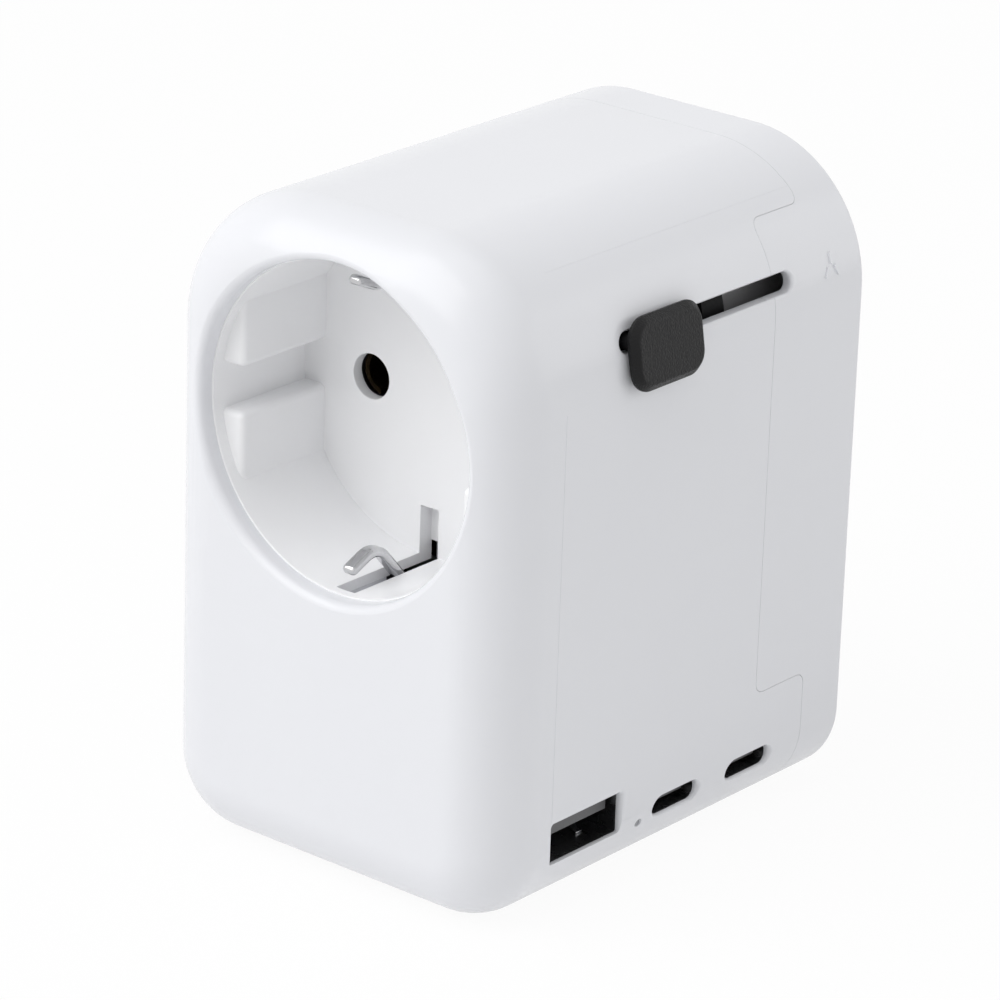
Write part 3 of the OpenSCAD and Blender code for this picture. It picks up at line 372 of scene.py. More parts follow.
# Windows of the charging ports in the right side with pockets behind for their shells, and the indicator's hole
window_rim = 0.35 * mm
pocket_room = 0.15 * mm
window_lip = 0.7 * mm
window_corner = 0.3 * mm
pocket_corner = 0.2 * mm
pocket_deep = 3 * mm
for port in ("usb_a_shell", "usb_c_front_shell", "usb_c_rear_shell"):
    low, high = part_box(port)
    y, z, width, tall = (low.y + high.y) / 2, (low.z + high.z) / 2, high.y - low.y, high.z - low.z
    slim = port != "usb_a_shell"
    hole_h = tall - 2 * window_rim
    open_side(front_shell, 1, y, z, width - 2 * window_rim, hole_h, hole_h / 2 if slim else window_corner, window_lip)
    pocket_at = aim((half_w - pocket_deep, y, z), Vector((1, 0, 0)), Vector((0, 1, 0)))
    pocket_h = tall + 2 * pocket_room
    combine(front_shell, drill("pocket", width + 2 * pocket_room, pocket_h, pocket_h / 2 if slim else pocket_corner, 0,
                               high.x + fit - half_w + pocket_deep, pocket_at, sides=48))
lamp_low, lamp_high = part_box("light_pipe")
lamp_w = lamp_high.y - lamp_low.y + 2 * fit
lamp_lip = 0.12 * mm
combine(front_shell, drill("lamp_hole", lamp_w, lamp_w, lamp_w, lamp_lip, through,
                           side_place(1, (lamp_low.y + lamp_high.y) / 2, (lamp_low.z + lamp_high.z) / 2), sides=24))

# Parting lines of the mould: one along each upper corner, one up each side behind the rounded front
line_w = 0.12 * mm
line_deep = 0.025 * mm
line_stand = 0.5 * mm
for side in (-1, 1):
    for y, z, length, turn in ((35.4, 77.08, 44.8, 0), (10.3, 36.5, 52, math.pi / 2)):
        combine(front_shell, drill("parting_line", length * mm, line_w, 0, 0, line_deep,
                                   side_place(side, face_y + y * mm, z * mm, turn=turn), stand=line_stand))
smooth(front_shell)


def moulded_skin():
    """Shared effect of moulded plastic: slow clouds in its tone, and the fine grain left by the mould."""
    group = bpy.data.node_groups.new("moulded_skin", "ShaderNodeTree")
    for name, kind in (("Tone", "Color"), ("Shade", "Color"), ("Grain", "Float"), ("Dull", "Float"),
                       ("Polished", "Float")):
        group.interface.new_socket(name, in_out="INPUT", socket_type="NodeSocket" + kind)
    for name, kind in (("Color", "Color"), ("Roughness", "Float"), ("Height", "Float")):
        group.interface.new_socket(name, in_out="OUTPUT", socket_type="NodeSocket" + kind)
    nodes, link = group.nodes, group.links.new
    given, result = nodes.new("NodeGroupInput"), nodes.new("NodeGroupOutput")
    where = nodes.new("ShaderNodeTexCoord")
    clouds, grain = nodes.new("ShaderNodeTexNoise"), nodes.new("ShaderNodeTexNoise")
    clouds.inputs["Scale"].default_value = 45
    clouds.inputs["Detail"].default_value = 3
    grain.inputs["Detail"].default_value = 2
    link(where.outputs["Object"], clouds.inputs["Vector"])
    link(where.outputs["Object"], grain.inputs["Vector"])
    link(given.outputs["Grain"], grain.inputs["Scale"])
    tint = nodes.new("ShaderNodeMix")
    tint.data_type = "RGBA"
    link(clouds.outputs["Fac"], tint.inputs["Factor"])
    link(given.outputs["Tone"], tint.inputs["A"])
    link(given.outputs["Shade"], tint.inputs["B"])
    shine = nodes.new("ShaderNodeMapRange")
    shine.inputs["From Min"].default_value = 0.3
    shine.inputs["From Max"].default_value = 0.7
    link(grain.outputs["Fac"], shine.inputs["Value"])
    link(given.outputs["Polished"], shine.inputs["To Min"])
    link(given.outputs["Dull"], shine.inputs["To Max"])
    link(tint.outputs["Result"], result.inputs["Color"])
    link(shine.outputs["Result"], result.inputs["Roughness"])
    link(grain.outputs["Fac"], result.inputs["Height"])
    return group


skin = moulded_skin()


def skinned(name, group, values, relief, **settings):
    """A material on a shared effect: its inputs, its relief in metres and the shader's plain settings."""
    material = bpy.data.materials.new(name)
    material.use_nodes = True
    nodes, link = material.node_tree.nodes, material.node_tree.links.new
    shader = nodes["Principled BSDF"]
    effect = nodes.new("ShaderNodeGroup")
    effect.node_tree = group
    for socket, value in values.items():
        colour = effect.inputs[socket].type == "RGBA"
        effect.inputs[socket].default_value = (*value, 1) if colour else value
    bump = nodes.new("ShaderNodeBump")
    bump.inputs["Strength"].default_value = 1
    bump.inputs["Distance"].default_value = relief
    link(effect.outputs["Color"], shader.inputs["Base Color"])
    link(effect.outputs["Roughness"], shader.inputs["Roughness"])
    link(effect.outputs["Height"], bump.inputs["Height"])
    link(bump.outputs["Normal"], shader.inputs["Normal"])
    for socket, value in settings.items():
        shader.inputs[socket.replace("_", " ")].default_value = value
    return material


shell_white = skinned("shell_white", skin, {"Tone": (0.83, 0.838, 0.87), "Shade": (0.81, 0.818, 0.85),
                                            "Grain": 5200, "Polished": 0.21, "Dull": 0.27}, 0.0003 * mm,
                      Specular_IOR_Level=0.4)
front_shell.data.materials.append(shell_white)
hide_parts("front_housing")
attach(front_shell, "housing")

# Socket cup: a white moulded well pressed into the housing's collar. Guide blocks on both sides steer the
# plug, two holes with wider reliefs behind them let its pins through, and slots above and below let the earth
# springs in.
cup_r = 19.9 * mm
cup_floor_y = face_y + 18.3 * mm
cup_back = face_y + 20.5 * mm
cup_front = face_y + front_wall
guide_x = 16.6 * mm
guide_front = face_y + 4 * mm
guide_end = cup_floor_y + 0.5 * mm
guide_limit = cup_out - 0.4 * mm
guide_gap = 5.6 * mm
guide_round = 0.8 * mm
pin_half = 9.5 * mm
pin_hole = 5.5 * mm
pin_land = 1.5 * mm
pin_lip = 0.15 * mm
pin_relief = 6.8 * mm
earth_slot_r = 18.7 * mm
earth_notch = 13.8 * mm
notch_end = 19 * mm
notch_deep = 2 * mm
cup_edge = 0.12 * mm

socket_well = drum("socket_well", cup_out, cup_front, cup_back, z=socket_z, sides=192)
pick(socket_well, "FACE", lambda place, normal: normal.y < -0.9)
bpy.ops.mesh.inset(thickness=cup_out - cup_r, depth=0)
push(0, cup_floor_y - cup_front, 0)
leave_edit()
pick(socket_well, "EDGE", lambda place, run: near(place.y, cup_front) and near(run.y, 0)
     and math.hypot(place.x, place.z - socket_z) < (cup_r + cup_out) / 2)
bpy.ops.mesh.bevel(offset=cup_edge, segments=3, profile=0.5, affect="EDGES")
leave_edit()
for side in (-1, 1):
    for end in (-1, 1):
        xs, zs = sorted((side * guide_x, side * cup_out)), sorted((end * guide_gap / 2, end * cup_r))
        guide = block("guide", (xs[0], guide_front, socket_z + zs[0]), (xs[1], guide_end, socket_z + zs[1]))
        corner = Vector((side * guide_x, guide_front, socket_z + end * guide_gap / 2))
        pick(guide, "EDGE", lambda place, run: sum(near(place[i], corner[i]) for i in range(3)) == 2)
        bpy.ops.mesh.bevel(offset=guide_round, segments=6, profile=0.5, affect="EDGES")
        leave_edit()
        combine(guide, drum("limit", guide_limit, face_y, cup_back, z=socket_z), "INTERSECT")
        combine(socket_well, guide, "UNION")
for side in (-1, 1):
    hole_at = aim((side * pin_half, cup_floor_y, socket_z), Vector((0, 1, 0)), Vector((-1, 0, 0)))
    combine(socket_well, drill("pin_hole", pin_hole, pin_hole, pin_hole, pin_lip, spare, hole_at, sides=64))
    combine(socket_well, drum("relief", pin_relief / 2, cup_floor_y + pin_land, cup_back + mm, side * pin_half,
                              socket_z, sides=50))
for end in (-1, 1):
    for y, inner, outer, depth in ((way_front, earth_slot_r, cup_out + spare, cup_back + spare),
                                   (cup_floor_y - mm, earth_notch, notch_end, cup_floor_y + notch_deep)):
        zs = sorted((end * inner, end * outer))
        combine(socket_well, block("earth_slot", (-spring_way / 2, y, socket_z + zs[0]),
                                   (spring_way / 2, depth, socket_z + zs[1])))
smooth(socket_well)
# The cup's white is paler than the housing's white: painted light, which lifts the shaded inside of the recess.
recess_white = skinned("recess_white", skin, {"Tone": (0.935, 0.938, 0.95), "Shade": (0.915, 0.918, 0.93),
                                              "Grain": 4200, "Polished": 0.30, "Dull": 0.38}, 0.001 * mm)
socket_well.data.materials.append(recess_white)
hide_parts("socket_cup")
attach(socket_well, "housing")

# Earth springs: stamped strips of nickel-plated spring steel, bent over a former. Each lies in its slot of
# the cup, rises to a crest that touches the plug's earth contact, and ends free.
strip_w = 1.9 * mm
strip_t = 1.2 * mm
strip_edge = 0.52 * mm
spring_bends = ((21.1, 14.8, 0), (21.1, 21.9, 0.9), (14.1, 21.9, 1.2), (8.6, 15.75, 2.8), (4.0, 17.75, 0))


def rounded_path(corners, steps=9):
    """Points of a flat path through corners, each given with the radius of its bend."""
    places = [Vector(corner[:2]) for corner in corners]
    points = [places[0]]
    for before, corner, after, (_, _, radius) in zip(places, places[1:], places[2:], corners[1:]):
        back, on = (before - corner).normalized(), (after - corner).normalized()
        half = back.angle(on) / 2
        tangent = radius / math.tan(half)
        centre = corner + (back + on).normalized() * tangent / math.cos(half)
        start, end = corner + back * tangent - centre, corner + on * tangent - centre
        sweep = math.pi - 2 * half
        for step in range(steps + 1):
            share = step / steps
            blend = start * math.sin((1 - share) * sweep) + end * math.sin(share * sweep)
            points.append(centre + blend / math.sin(sweep))
    points.append(places[-1])
    return points


def bent_strip(name, points, width, thick, round_edge):
    """Strip of sheet metal across x, bent along points in the y-z plane, with rounded edges."""
    bpy.ops.object.select_all(action="DESELECT")
    bpy.ops.mesh.primitive_plane_add(size=width)
    strip = bpy.context.object
    strip.name = name
    pick(strip, "VERT", lambda place, normal: place.y > 0)
    bpy.ops.mesh.delete(type="VERT")
    bpy.ops.mesh.select_all(action="SELECT")
    bpy.ops.transform.translate(value=(0, points[0][0] + width / 2, points[0][1]))
    for a, b in zip(points, points[1:]):
        push(0, b[0] - a[0], b[1] - a[1])
    leave_edit()
    thicken = strip.modifiers.new("thickness", "SOLIDIFY")
    thicken.thickness = thick
    thicken.offset = 0
    thicken.use_even_offset = True
    bpy.ops.object.modifier_apply(modifier=thicken.name)
    pick(strip, "VERT", everything)
    bpy.ops.mesh.normals_make_consistent(inside=False)
    leave_edit()
    soften = strip.modifiers.new("edges", "BEVEL")
    soften.width = round_edge
    soften.segments = 4
    soften.limit_method = "ANGLE"
    soften.angle_limit = math.radians(50)
    bpy.ops.object.modifier_apply(modifier=soften.name)
    return strip


def copied(piece, name):
    """A copy of a piece with its own mesh."""
    bpy.ops.object.select_all(action="DESELECT")
    piece.select_set(True)
    bpy.context.view_layer.objects.active = piece
    bpy.ops.object.duplicate(linked=False)
    copy = bpy.context.object
    copy.name = name
    return copy


def plated_skin():
    """Shared effect of rolled and plated metal: fine streaks along the piece and a faint tarnish."""
    group = bpy.data.node_groups.new("plated_skin", "ShaderNodeTree")
    for name, kind in (("Tone", "Color"), ("Tarnish", "Color"), ("Streaks", "Vector"), ("Bright", "Float"),
                       ("Dull", "Float")):
        group.interface.new_socket(name, in_out="INPUT", socket_type="NodeSocket" + kind)
    for name, kind in (("Color", "Color"), ("Roughness", "Float"), ("Height", "Float")):
        group.interface.new_socket(name, in_out="OUTPUT", socket_type="NodeSocket" + kind)
    nodes, link = group.nodes, group.links.new
    given, result = nodes.new("NodeGroupInput"), nodes.new("NodeGroupOutput")
    where, along = nodes.new("ShaderNodeTexCoord"), nodes.new("ShaderNodeMapping")
    streaks, patches = nodes.new("ShaderNodeTexNoise"), nodes.new("ShaderNodeTexNoise")
    streaks.inputs["Scale"].default_value = 1
    streaks.inputs["Detail"].default_value = 3
    patches.inputs["Scale"].default_value = 260
    patches.inputs["Detail"].default_value = 4
    link(where.outputs["Object"], along.inputs["Vector"])
    link(given.outputs["Streaks"], along.inputs["Scale"])
    link(along.outputs["Vector"], streaks.inputs["Vector"])
    link(where.outputs["Object"], patches.inputs["Vector"])
    tint = nodes.new("ShaderNodeMix")
    tint.data_type = "RGBA"
    link(patches.outputs["Fac"], tint.inputs["Factor"])
    link(given.outputs["Tone"], tint.inputs["A"])
    link(given.outputs["Tarnish"], tint.inputs["B"])
    shine = nodes.new("ShaderNodeMapRange")
    shine.inputs["From Min"].default_value = 0.3
    shine.inputs["From Max"].default_value = 0.7
    link(streaks.outputs["Fac"], shine.inputs["Value"])
    link(given.outputs["Bright"], shine.inputs["To Min"])
    link(given.outputs["Dull"], shine.inputs["To Max"])
    link(tint.outputs["Result"], result.inputs["Color"])
    link(shine.outputs["Result"], result.inputs["Roughness"])
    link(streaks.outputs["Fac"], result.inputs["Height"])
    return group


plating = plated_skin()
spring_steel = skinned("spring_steel", plating, {"Tone": (0.70, 0.70, 0.71), "Tarnish": (0.48, 0.48, 0.49),
                                                 "Streaks": (9000, 500, 500), "Bright": 0.08, "Dull": 0.18},
                       0.0006 * mm, Metallic=1)
bends = [(face_y + y * mm, socket_z + r * mm, radius * mm) for y, r, radius in spring_bends]
top_spring = bent_strip("earth_spring_top", rounded_path(bends), strip_w, strip_t, strip_edge)
smooth(top_spring, 40)
top_spring.data.materials.append(spring_steel)
bottom_spring = copied(top_spring, "earth_spring_bottom")
bottom_spring.matrix_world = Matrix.Translation((0, 0, 2 * socket_z)) @ Matrix.Scale(-1, 4, (0, 0, 1))
bpy.ops.object.transform_apply(location=True, rotation=True, scale=True)
smooth(bottom_spring, 40)
for spring, end in ((top_spring, "top"), (bottom_spring, "bottom")):
    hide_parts("earth_clip_" + end)
    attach(spring, "housing")

# Charger: a glass-fibre board screwed to four feet of the base, with its transformer, two can capacitors
# and an indicator whose light a clear rod leads out through the side wall.


def dress(material, *names):
    """Gives CAD nodes their finish."""
    for name in names:
        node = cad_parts[name]
        node.data.materials.clear()
        node.data.materials.append(material)


dress(skinned("board_green", skin, {"Tone": (0.025, 0.12, 0.06), "Shade": (0.015, 0.075, 0.04), "Grain": 2500,
                                    "Polished": 0.3, "Dull": 0.45}, 0.004 * mm), "circuit_board")
dress(skinned("core_dark", skin, {"Tone": (0.035, 0.035, 0.038), "Shade": (0.022, 0.022, 0.024), "Grain": 3000,
                                  "Polished": 0.45, "Dull": 0.6}, 0.006 * mm), "transformer")
dress(skinned("can_sleeve", skin, {"Tone": (0.03, 0.035, 0.10), "Shade": (0.02, 0.022, 0.07), "Grain": 900,
                                   "Polished": 0.25, "Dull": 0.35}, 0.002 * mm), "bulk_capacitor", "output_capacitor")
dress(skinned("lamp_body", skin, {"Tone": (0.82, 0.84, 0.78), "Shade": (0.74, 0.76, 0.68), "Grain": 4000,
                                  "Polished": 0.3, "Dull": 0.4}, 0.001 * mm), "indicator_lamp")
dress(skinned("clear_rod", skin, {"Tone": (0.40, 0.41, 0.43), "Shade": (0.34, 0.35, 0.37), "Grain": 6000,
                                  "Polished": 0.12, "Dull": 0.2}, 0.0005 * mm), "light_pipe")

# Charging ports: drawn and folded steel shells, bright nickel outside and in, round moulded tongues that
# carry the contacts. They are soldered to the board and look out through the housing's windows.
# The shells' steel is far darker than bright nickel: painted shade, which makes the ports' insides read dark.
port_steel = skinned("port_steel", plating, {"Tone": (0.30, 0.30, 0.31), "Tarnish": (0.22, 0.22, 0.23),
                                             "Streaks": (500, 6000, 6000), "Bright": 0.25, "Dull": 0.38},
                     0.001 * mm, Metallic=1)
port_black = skinned("port_black", skin, {"Tone": (0.12, 0.12, 0.124), "Shade": (0.10, 0.10, 0.104),
                                          "Grain": 5000, "Polished": 0.35, "Dull": 0.5}, 0.002 * mm)
dress(port_steel, "usb_a_shell", "usb_c_front_shell", "usb_c_rear_shell")
dress(port_black, "usb_a_tongue", "usb_c_front_tongue", "usb_c_rear_tongue")

# Shell springs: two leaves of the same plated steel in the wide port. They are cut free in the floor of its
# shell and bent up, so that they press on the plug and hold it.
leaf_w = 1.1 * mm
leaf_t = 0.25 * mm
leaf_edge = 0.05 * mm
shell_t = 0.35 * mm
wide_low, wide_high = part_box("usb_a_shell")
leaf_bends = [(wide_high.x - x * mm, wide_low.z + shell_t + z * mm, radius * mm)
              for x, z, radius in ((6.4, 0.12, 0), (4.0, 0.65, 0.6), (2.6, 0.12, 0))]
first_leaf = bent_strip("usb_a_leaf_front", rounded_path(leaf_bends, 6), leaf_w, leaf_t, leaf_edge)
smooth(first_leaf, 40)
first_leaf.data.materials.append(spring_steel)
for leaf, shift in ((first_leaf, -3.4 * mm), (copied(first_leaf, "usb_a_leaf_rear"), 2.9 * mm)):
    bpy.ops.object.select_all(action="DESELECT")
    leaf.select_set(True)
    bpy.context.view_layer.objects.active = leaf
    leaf.matrix_world = (Matrix.Translation((0, (wide_low.y + wide_high.y) / 2 + shift, 0))
                         @ Matrix.Rotation(-math.pi / 2, 4, "Z"))
    bpy.ops.object.transform_apply(location=True, rotation=True, scale=True)
    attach(leaf, "housing")

# Contacts and inner frame: slit brass sleeves and stamped brass bars, held by a grey glass-filled moulding
# whose rails also guide the plug sets. A glass fuse sits in two spring clips on its front.
# The brass is far darker than bright brass: painted shade, which makes the contacts seen through the pin holes read
# dark.
contact_brass = skinned("contact_brass", plating, {"Tone": (0.15, 0.11, 0.06), "Tarnish": (0.10, 0.07, 0.035),
                                                   "Streaks": (3000, 3000, 300), "Bright": 0.25, "Dull": 0.4},
                        0.001 * mm, Metallic=1)
frame_grey = skinned("frame_grey", skin, {"Tone": (0.20, 0.20, 0.21), "Shade": (0.16, 0.16, 0.17),
                                          "Grain": 3200, "Polished": 0.45, "Dull": 0.6}, 0.003 * mm)
fuse_glass = skinned("fuse_glass", skin, {"Tone": (0.72, 0.76, 0.74), "Shade": (0.62, 0.67, 0.65), "Grain": 700,
                                          "Polished": 0.06, "Dull": 0.12}, 0.0005 * mm)
# A thin sheet on the face of the frame's rail, where it shows through the slot on the right side. Its grey is far
# paler than the frame's grey: painted light in the shaded slot.
liner_low, liner_high = Vector((20.45, 45, 59.3)) * mm, Vector((20.7, 62.8, 66.85)) * mm
liner_edge = 0.1 * mm
liner = block("rail_liner", liner_low + Vector((0, face_y, 0)), liner_high + Vector((0, face_y, 0)))
pick(liner, "EDGE", lambda place, run: near(place.x, liner_high.x))
bpy.ops.mesh.bevel(offset=liner_edge, segments=3, profile=0.5, affect="EDGES")
leave_edit()
smooth(liner)
liner.data.materials.append(skinned("liner_painted_light", skin, {"Tone": (0.52, 0.52, 0.53), "Shade": (0.46, 0.46, 0.47),
                                                         "Grain": 3600, "Polished": 0.4, "Dull": 0.55}, 0.002 * mm))
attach(liner, "housing")
dress(contact_brass, "line_contact", "neutral_contact", "line_bar", "neutral_bar", "earth_bar", "fuse_clips")
dress(frame_grey, "contact_carrier")
dress(fuse_glass, "fuse")

# Plug sets: each is a dark moulded carriage on the frame's rails, with nickel-plated brass pins or blades
# pressed into its plate and an arm that passes out through the slot in the side wall.
pin_plate = skinned("pin_plate", plating, {"Tone": (0.64, 0.63, 0.61), "Tarnish": (0.51, 0.495, 0.47),
                                           "Streaks": (5000, 250, 5000), "Bright": 0.16, "Dull": 0.28},
                    0.001 * mm, Metallic=1)
carriage_dark = skinned("carriage_dark", skin, {"Tone": (0.012, 0.012, 0.013), "Shade": (0.008, 0.008, 0.009),
                                                "Grain": 3200, "Polished": 0.5, "Dull": 0.65}, 0.003 * mm,
                        Specular_IOR_Level=0.1)
dress(carriage_dark, "cn_carriage", "us_carriage", "uk_carriage")
dress(pin_plate, "cn_blades", "cn_earth_blade", "us_blades", "us_earth_pin", "uk_pins", "uk_earth_pin")

# Thumb knobs: charcoal mouldings with a chamfered edge and a fine eroded grain, pressed onto the necks of the
# carriages. Each lies along the side of the body where its slot is.
knob_l = 13 * mm
knob_h = 8.8 * mm
knob_t = 1.29 * mm
knob_corner = 2.8 * mm
knob_edge = 0.8 * mm
knob_ridge = 0.2 * mm
knob_drop = 0.5 * mm
knob_ease = 0.01 * mm
knob_lean = {"cn": math.asin(2.7 * mm / top_corner), "us": 0, "uk": 0}
knob_charcoal = skinned("knob_charcoal", skin, {"Tone": (0.011, 0.011, 0.0117), "Shade": (0.008, 0.008, 0.0085),
                                                "Grain": 4200, "Polished": 0.30, "Dull": 0.55}, 0.1 * mm,
                        Specular_IOR_Level=0.19)
plain_knob = block("plain_knob", (0, -knob_l / 2, -knob_h / 2), (knob_t, knob_l / 2, knob_h / 2))
pick(plain_knob, "EDGE", lambda place, run: run.x != 0)
bpy.ops.mesh.bevel(offset=knob_corner, segments=12, profile=0.5, affect="EDGES")
leave_edit()
for x, edge, segments in ((knob_t, knob_edge, 1), (knob_t, knob_ridge, 3), (0, knob_ridge, 2)):
    pick(plain_knob, "EDGE", lambda place, run: near(place.x, x) and near(run.x, 0))
    bpy.ops.mesh.bevel(offset=edge, segments=segments, profile=0.5, affect="EDGES")
    leave_edit()
smooth(plain_knob)
plain_knob.data.materials.append(knob_charcoal)
for name, side in slot_side.items():
    low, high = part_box(name + "_knob")
    lean = knob_lean[name]
    reach = knob_t * math.cos(lean) + (knob_h / 2 - knob_edge) * math.sin(lean)
    x = (high.x if side > 0 else -low.x) - reach - knob_ease
    z = (low.z + high.z) / 2 - knob_drop * math.sin(lean)
    knob = copied(plain_knob, name + "_thumb_knob")
    knob.matrix_world = (Matrix.Translation((side * x, (low.y + high.y) / 2, z)) @ Matrix.Rotation(-lean, 4, "Y")
                         @ Matrix.Rotation(0 if side > 0 else math.pi, 4, "Z"))
    bpy.ops.object.transform_apply(location=True, rotation=True, scale=True)
    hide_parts(name + "_knob")
    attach(knob, name + "_slide")
bpy.data.objects.remove(plain_knob)

# Rear cover: a second white moulding that closes the housing. Its ears reach forward along both sides, its
# tongue laps behind the seam, and its rear wall has a hole for every pin and seats for the screws that hold it.
rear_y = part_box("rear_cover")[1].y
rear_wall = 3 * mm
rear_round = 0.8 * mm
pin_room = 0.35 * mm
hole_lip = 0.25 * mm
rear_shell = body_block("rear_shell", 0, ear_front, rear_y, rear_y, rear_round)
combine(rear_shell, cover_zone("share", seam_y + seam_gap, ear_front, ear_low, ear_high), "INTERSECT")
combine(rear_shell, lap_zone("tongue", lap_skin + fit, lap), "UNION")
combine(rear_shell, body_block("hollow", wall, ear_front - spare, rear_y - rear_wall))
cut_slots(rear_shell)


def rear_place(x, z, turn=0):
    """Placing on the rear face, turned about the hole's own axis."""
    return aim((x, rear_y, z), Vector((0, -1, 0)), Vector((math.cos(turn), 0, -math.sin(turn))))


slant = math.radians(30)
for pins, x, width, tall, corner, turn in (
        ("cn_blades", 6.86, 1.6, 6.3, 0.2, slant), ("cn_earth_blade", 0, 1.6, 6.3, 0.2, 0),
        ("us_blades", 6.35, 1.5, 6.35, 0.2, 0), ("us_earth_pin", 0, 4.8, 4.8, 9, 0),
        ("uk_pins", 11.1, 6.35, 4, 0.3, 0), ("uk_earth_pin", 0, 4, 8, 0.3, 0)):
    low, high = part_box(pins)
    for side in (-1, 1) if x else (1,):
        combine(rear_shell, drill("pin_way", width * mm + 2 * pin_room, tall * mm + 2 * pin_room, corner * mm,
                                  hole_lip, through, rear_place(side * x * mm, (low.z + high.z) / 2, side * turn),
                                  sides=32))
screw_low, screw_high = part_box("cover_screws")
screw_r = 2.3 * mm
seat_w = 4.7 * mm
seat_lip = 0.3 * mm
seat_deep = 1.7 * mm
for x in (screw_low.x + screw_r, screw_high.x - screw_r):
    for z in (screw_low.z + screw_r, screw_high.z - screw_r):
        combine(rear_shell, drill("screw_seat", seat_w, seat_w, seat_w, seat_lip, seat_deep, rear_place(x, z)))

# Raised signs behind the slots, which show the pins of each set
sign_y = face_y + 59.7 * mm
sign_high = 0.2 * mm
sign_root = 0.4 * mm
sign_corner = 0.1 * mm
upright = math.pi / 2
signs = {"cn": ((0, 0.95, 1.5, 0.45, upright), (-0.9, -0.6, 1.5, 0.45, upright - slant),
                (0.9, -0.6, 1.5, 0.45, upright + slant)),
         "us": ((0, 1.0, 0.8, 0.8, 0), (-0.75, -0.6, 1.5, 0.42, upright), (0.75, -0.6, 1.5, 0.42, upright)),
         "uk": ((0, 0.95, 1.5, 0.75, upright), (-0.95, -0.75, 1.2, 0.7, 0), (0.95, -0.75, 1.2, 0.7, 0))}
for name, strokes in signs.items():
    side = slot_side[name]
    for along, above, length, width, turn in strokes:
        at = side_place(side, sign_y - side * along * mm, slot_z[name] + above * mm, turn=turn)
        corner = sign_corner if name == "uk" else width * mm / 2
        combine(rear_shell, drill("stroke", length * mm, width * mm, corner, 0, sign_root, at, sides=24,
                                  stand=sign_high), "UNION")
smooth(rear_shell)
rear_shell.data.materials.append(shell_white)
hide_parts("rear_cover")
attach(rear_shell, "housing")

# Screws: cross-head screws of zinc-plated steel, cold-headed and with rolled threads. Four hold the cover to
# the inner frame, and the others hold that frame to bosses and the board to feet of the housing.
screw_steel = skinned("screw_steel", plating, {"Tone": (0.62, 0.63, 0.65), "Tarnish": (0.48, 0.48, 0.46),
                                               "Streaks": (2500, 2500, 2500), "Bright": 0.25, "Dull": 0.42},
                      0.002 * mm, Metallic=1)
dress(screw_steel, "cover_screws", "carrier_screws", "board_screws")

# Studio: a pale paper sheet just under the part, which is white to the eye and still takes its shadow, an even
# white surround, and three large soft lamps.
floor_size = 8
floor_gap = 0.02 * mm
bpy.ops.object.select_all(action="DESELECT")
bpy.ops.mesh.primitive_plane_add(size=floor_size, location=(0, 0, -floor_gap))
floor = bpy.context.object
floor.name = "floor"


def seen_directly(nodes, link):
    """One where a ray from the camera, a reflection or a refraction meets the surface, zero elsewhere."""
    path = nodes.new("ShaderNodeLightPath")
    first, second = nodes.new("ShaderNodeMath"), nodes.new("ShaderNodeMath")
    for node in (first, second):
        node.operation = "MAXIMUM"
    link(path.outputs["Is Camera Ray"], first.inputs[0])
    link(path.outputs["Is Glossy Ray"], first.inputs[1])
    link(first.outputs["Value"], second.inputs[0])
    link(path.outputs["Is Transmission Ray"], second.inputs[1])
    return second.outputs["Value"]


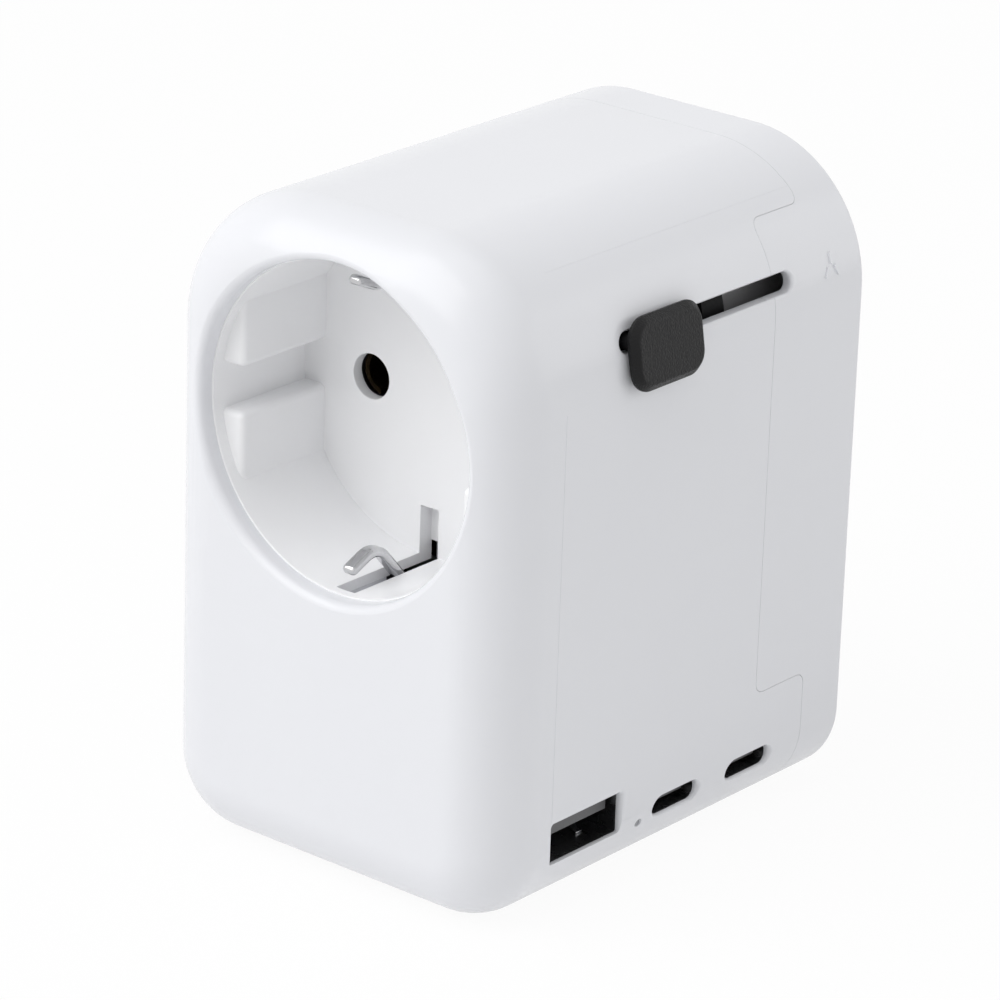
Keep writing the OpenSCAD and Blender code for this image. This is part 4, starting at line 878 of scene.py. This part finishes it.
paper = bpy.data.materials.new("paper")
paper.use_nodes = True
nodes, link = paper.node_tree.nodes, paper.node_tree.links.new
sheet = nodes["Principled BSDF"]
sheet.inputs["Base Color"].default_value = (0.93, 0.93, 0.93, 1)
sheet.inputs["Roughness"].default_value = 0.9
sheet.inputs["Specular IOR Level"].default_value = 0.1
glow, blend, keep = nodes.new("ShaderNodeEmission"), nodes.new("ShaderNodeMixShader"), nodes.new("ShaderNodeMath")
glow.inputs["Strength"].default_value = 1
keep.operation = "MULTIPLY"
keep.inputs[1].default_value = 0.94
link(seen_directly(nodes, link), keep.inputs[0])
link(keep.outputs["Value"], blend.inputs["Fac"])
link(sheet.outputs["BSDF"], blend.inputs[1])
link(glow.outputs["Emission"], blend.inputs[2])
link(blend.outputs["Shader"], nodes["Material Output"].inputs["Surface"])
floor.data.materials.append(paper)

world = bpy.data.worlds.new("surround")
bpy.context.scene.world = world
world.use_nodes = True
nodes, link = world.node_tree.nodes, world.node_tree.links.new
level = nodes.new("ShaderNodeMapRange")
level.inputs["To Min"].default_value = 0.455
level.inputs["To Max"].default_value = 1.0
link(seen_directly(nodes, link), level.inputs["Value"])
link(level.outputs["Result"], nodes["Background"].inputs["Strength"])
nodes["Background"].inputs["Color"].default_value = (1, 1, 1, 1)


def lamp(name, at, target, size, power):
    """Large square lamp at a place, turned to a target."""
    bpy.ops.object.light_add(type="AREA", location=at)
    light = bpy.context.object
    light.name = name
    light.data.size = size
    light.data.energy = power
    light.rotation_euler = (Vector(target) - Vector(at)).to_track_quat("-Z", "Y").to_euler()


middle = (0, 0, body_h / 2)
lamp("key", (-0.32, -0.64, 0.77), middle, 1.0, 7.0)
lamp("side", (0.7, 0.7, 0.19), middle, 0.9, 2.65)
lamp("top", (0, 0, 1.1), middle, 0.7, 1.1)

# Camera: the photograph's view from the front right and a little above, through a long lens. The picture leans
# by about two degrees.
azimuth, elevation, roll = math.radians(39.168), math.radians(21.273), 0.0337
aim_point = Vector((0, face_y, socket_z))
shift_right, shift_up, away = -19.689 * mm, 6.548 * mm, 586.395 * mm
right = Vector((math.cos(azimuth), math.sin(azimuth), 0))
back = Vector((math.sin(azimuth) * math.cos(elevation), -math.cos(azimuth) * math.cos(elevation),
               math.sin(elevation)))
up = back.cross(right)
stand_at = aim_point - right * shift_right - up * shift_up + back * away
across = right * math.cos(roll) + up * math.sin(roll)
upward = up * math.cos(roll) - right * math.sin(roll)
bpy.ops.object.camera_add()
camera = bpy.context.object
camera.data.sensor_width = 36
camera.data.lens = 187.15
camera.data.clip_start = 0.01
camera.matrix_world = Matrix([(across[i], upward[i], back[i], stand_at[i]) for i in range(3)] + [(0, 0, 0, 1)])
bpy.context.scene.camera = camera
bpy.context.scene.view_settings.view_transform = "Standard"
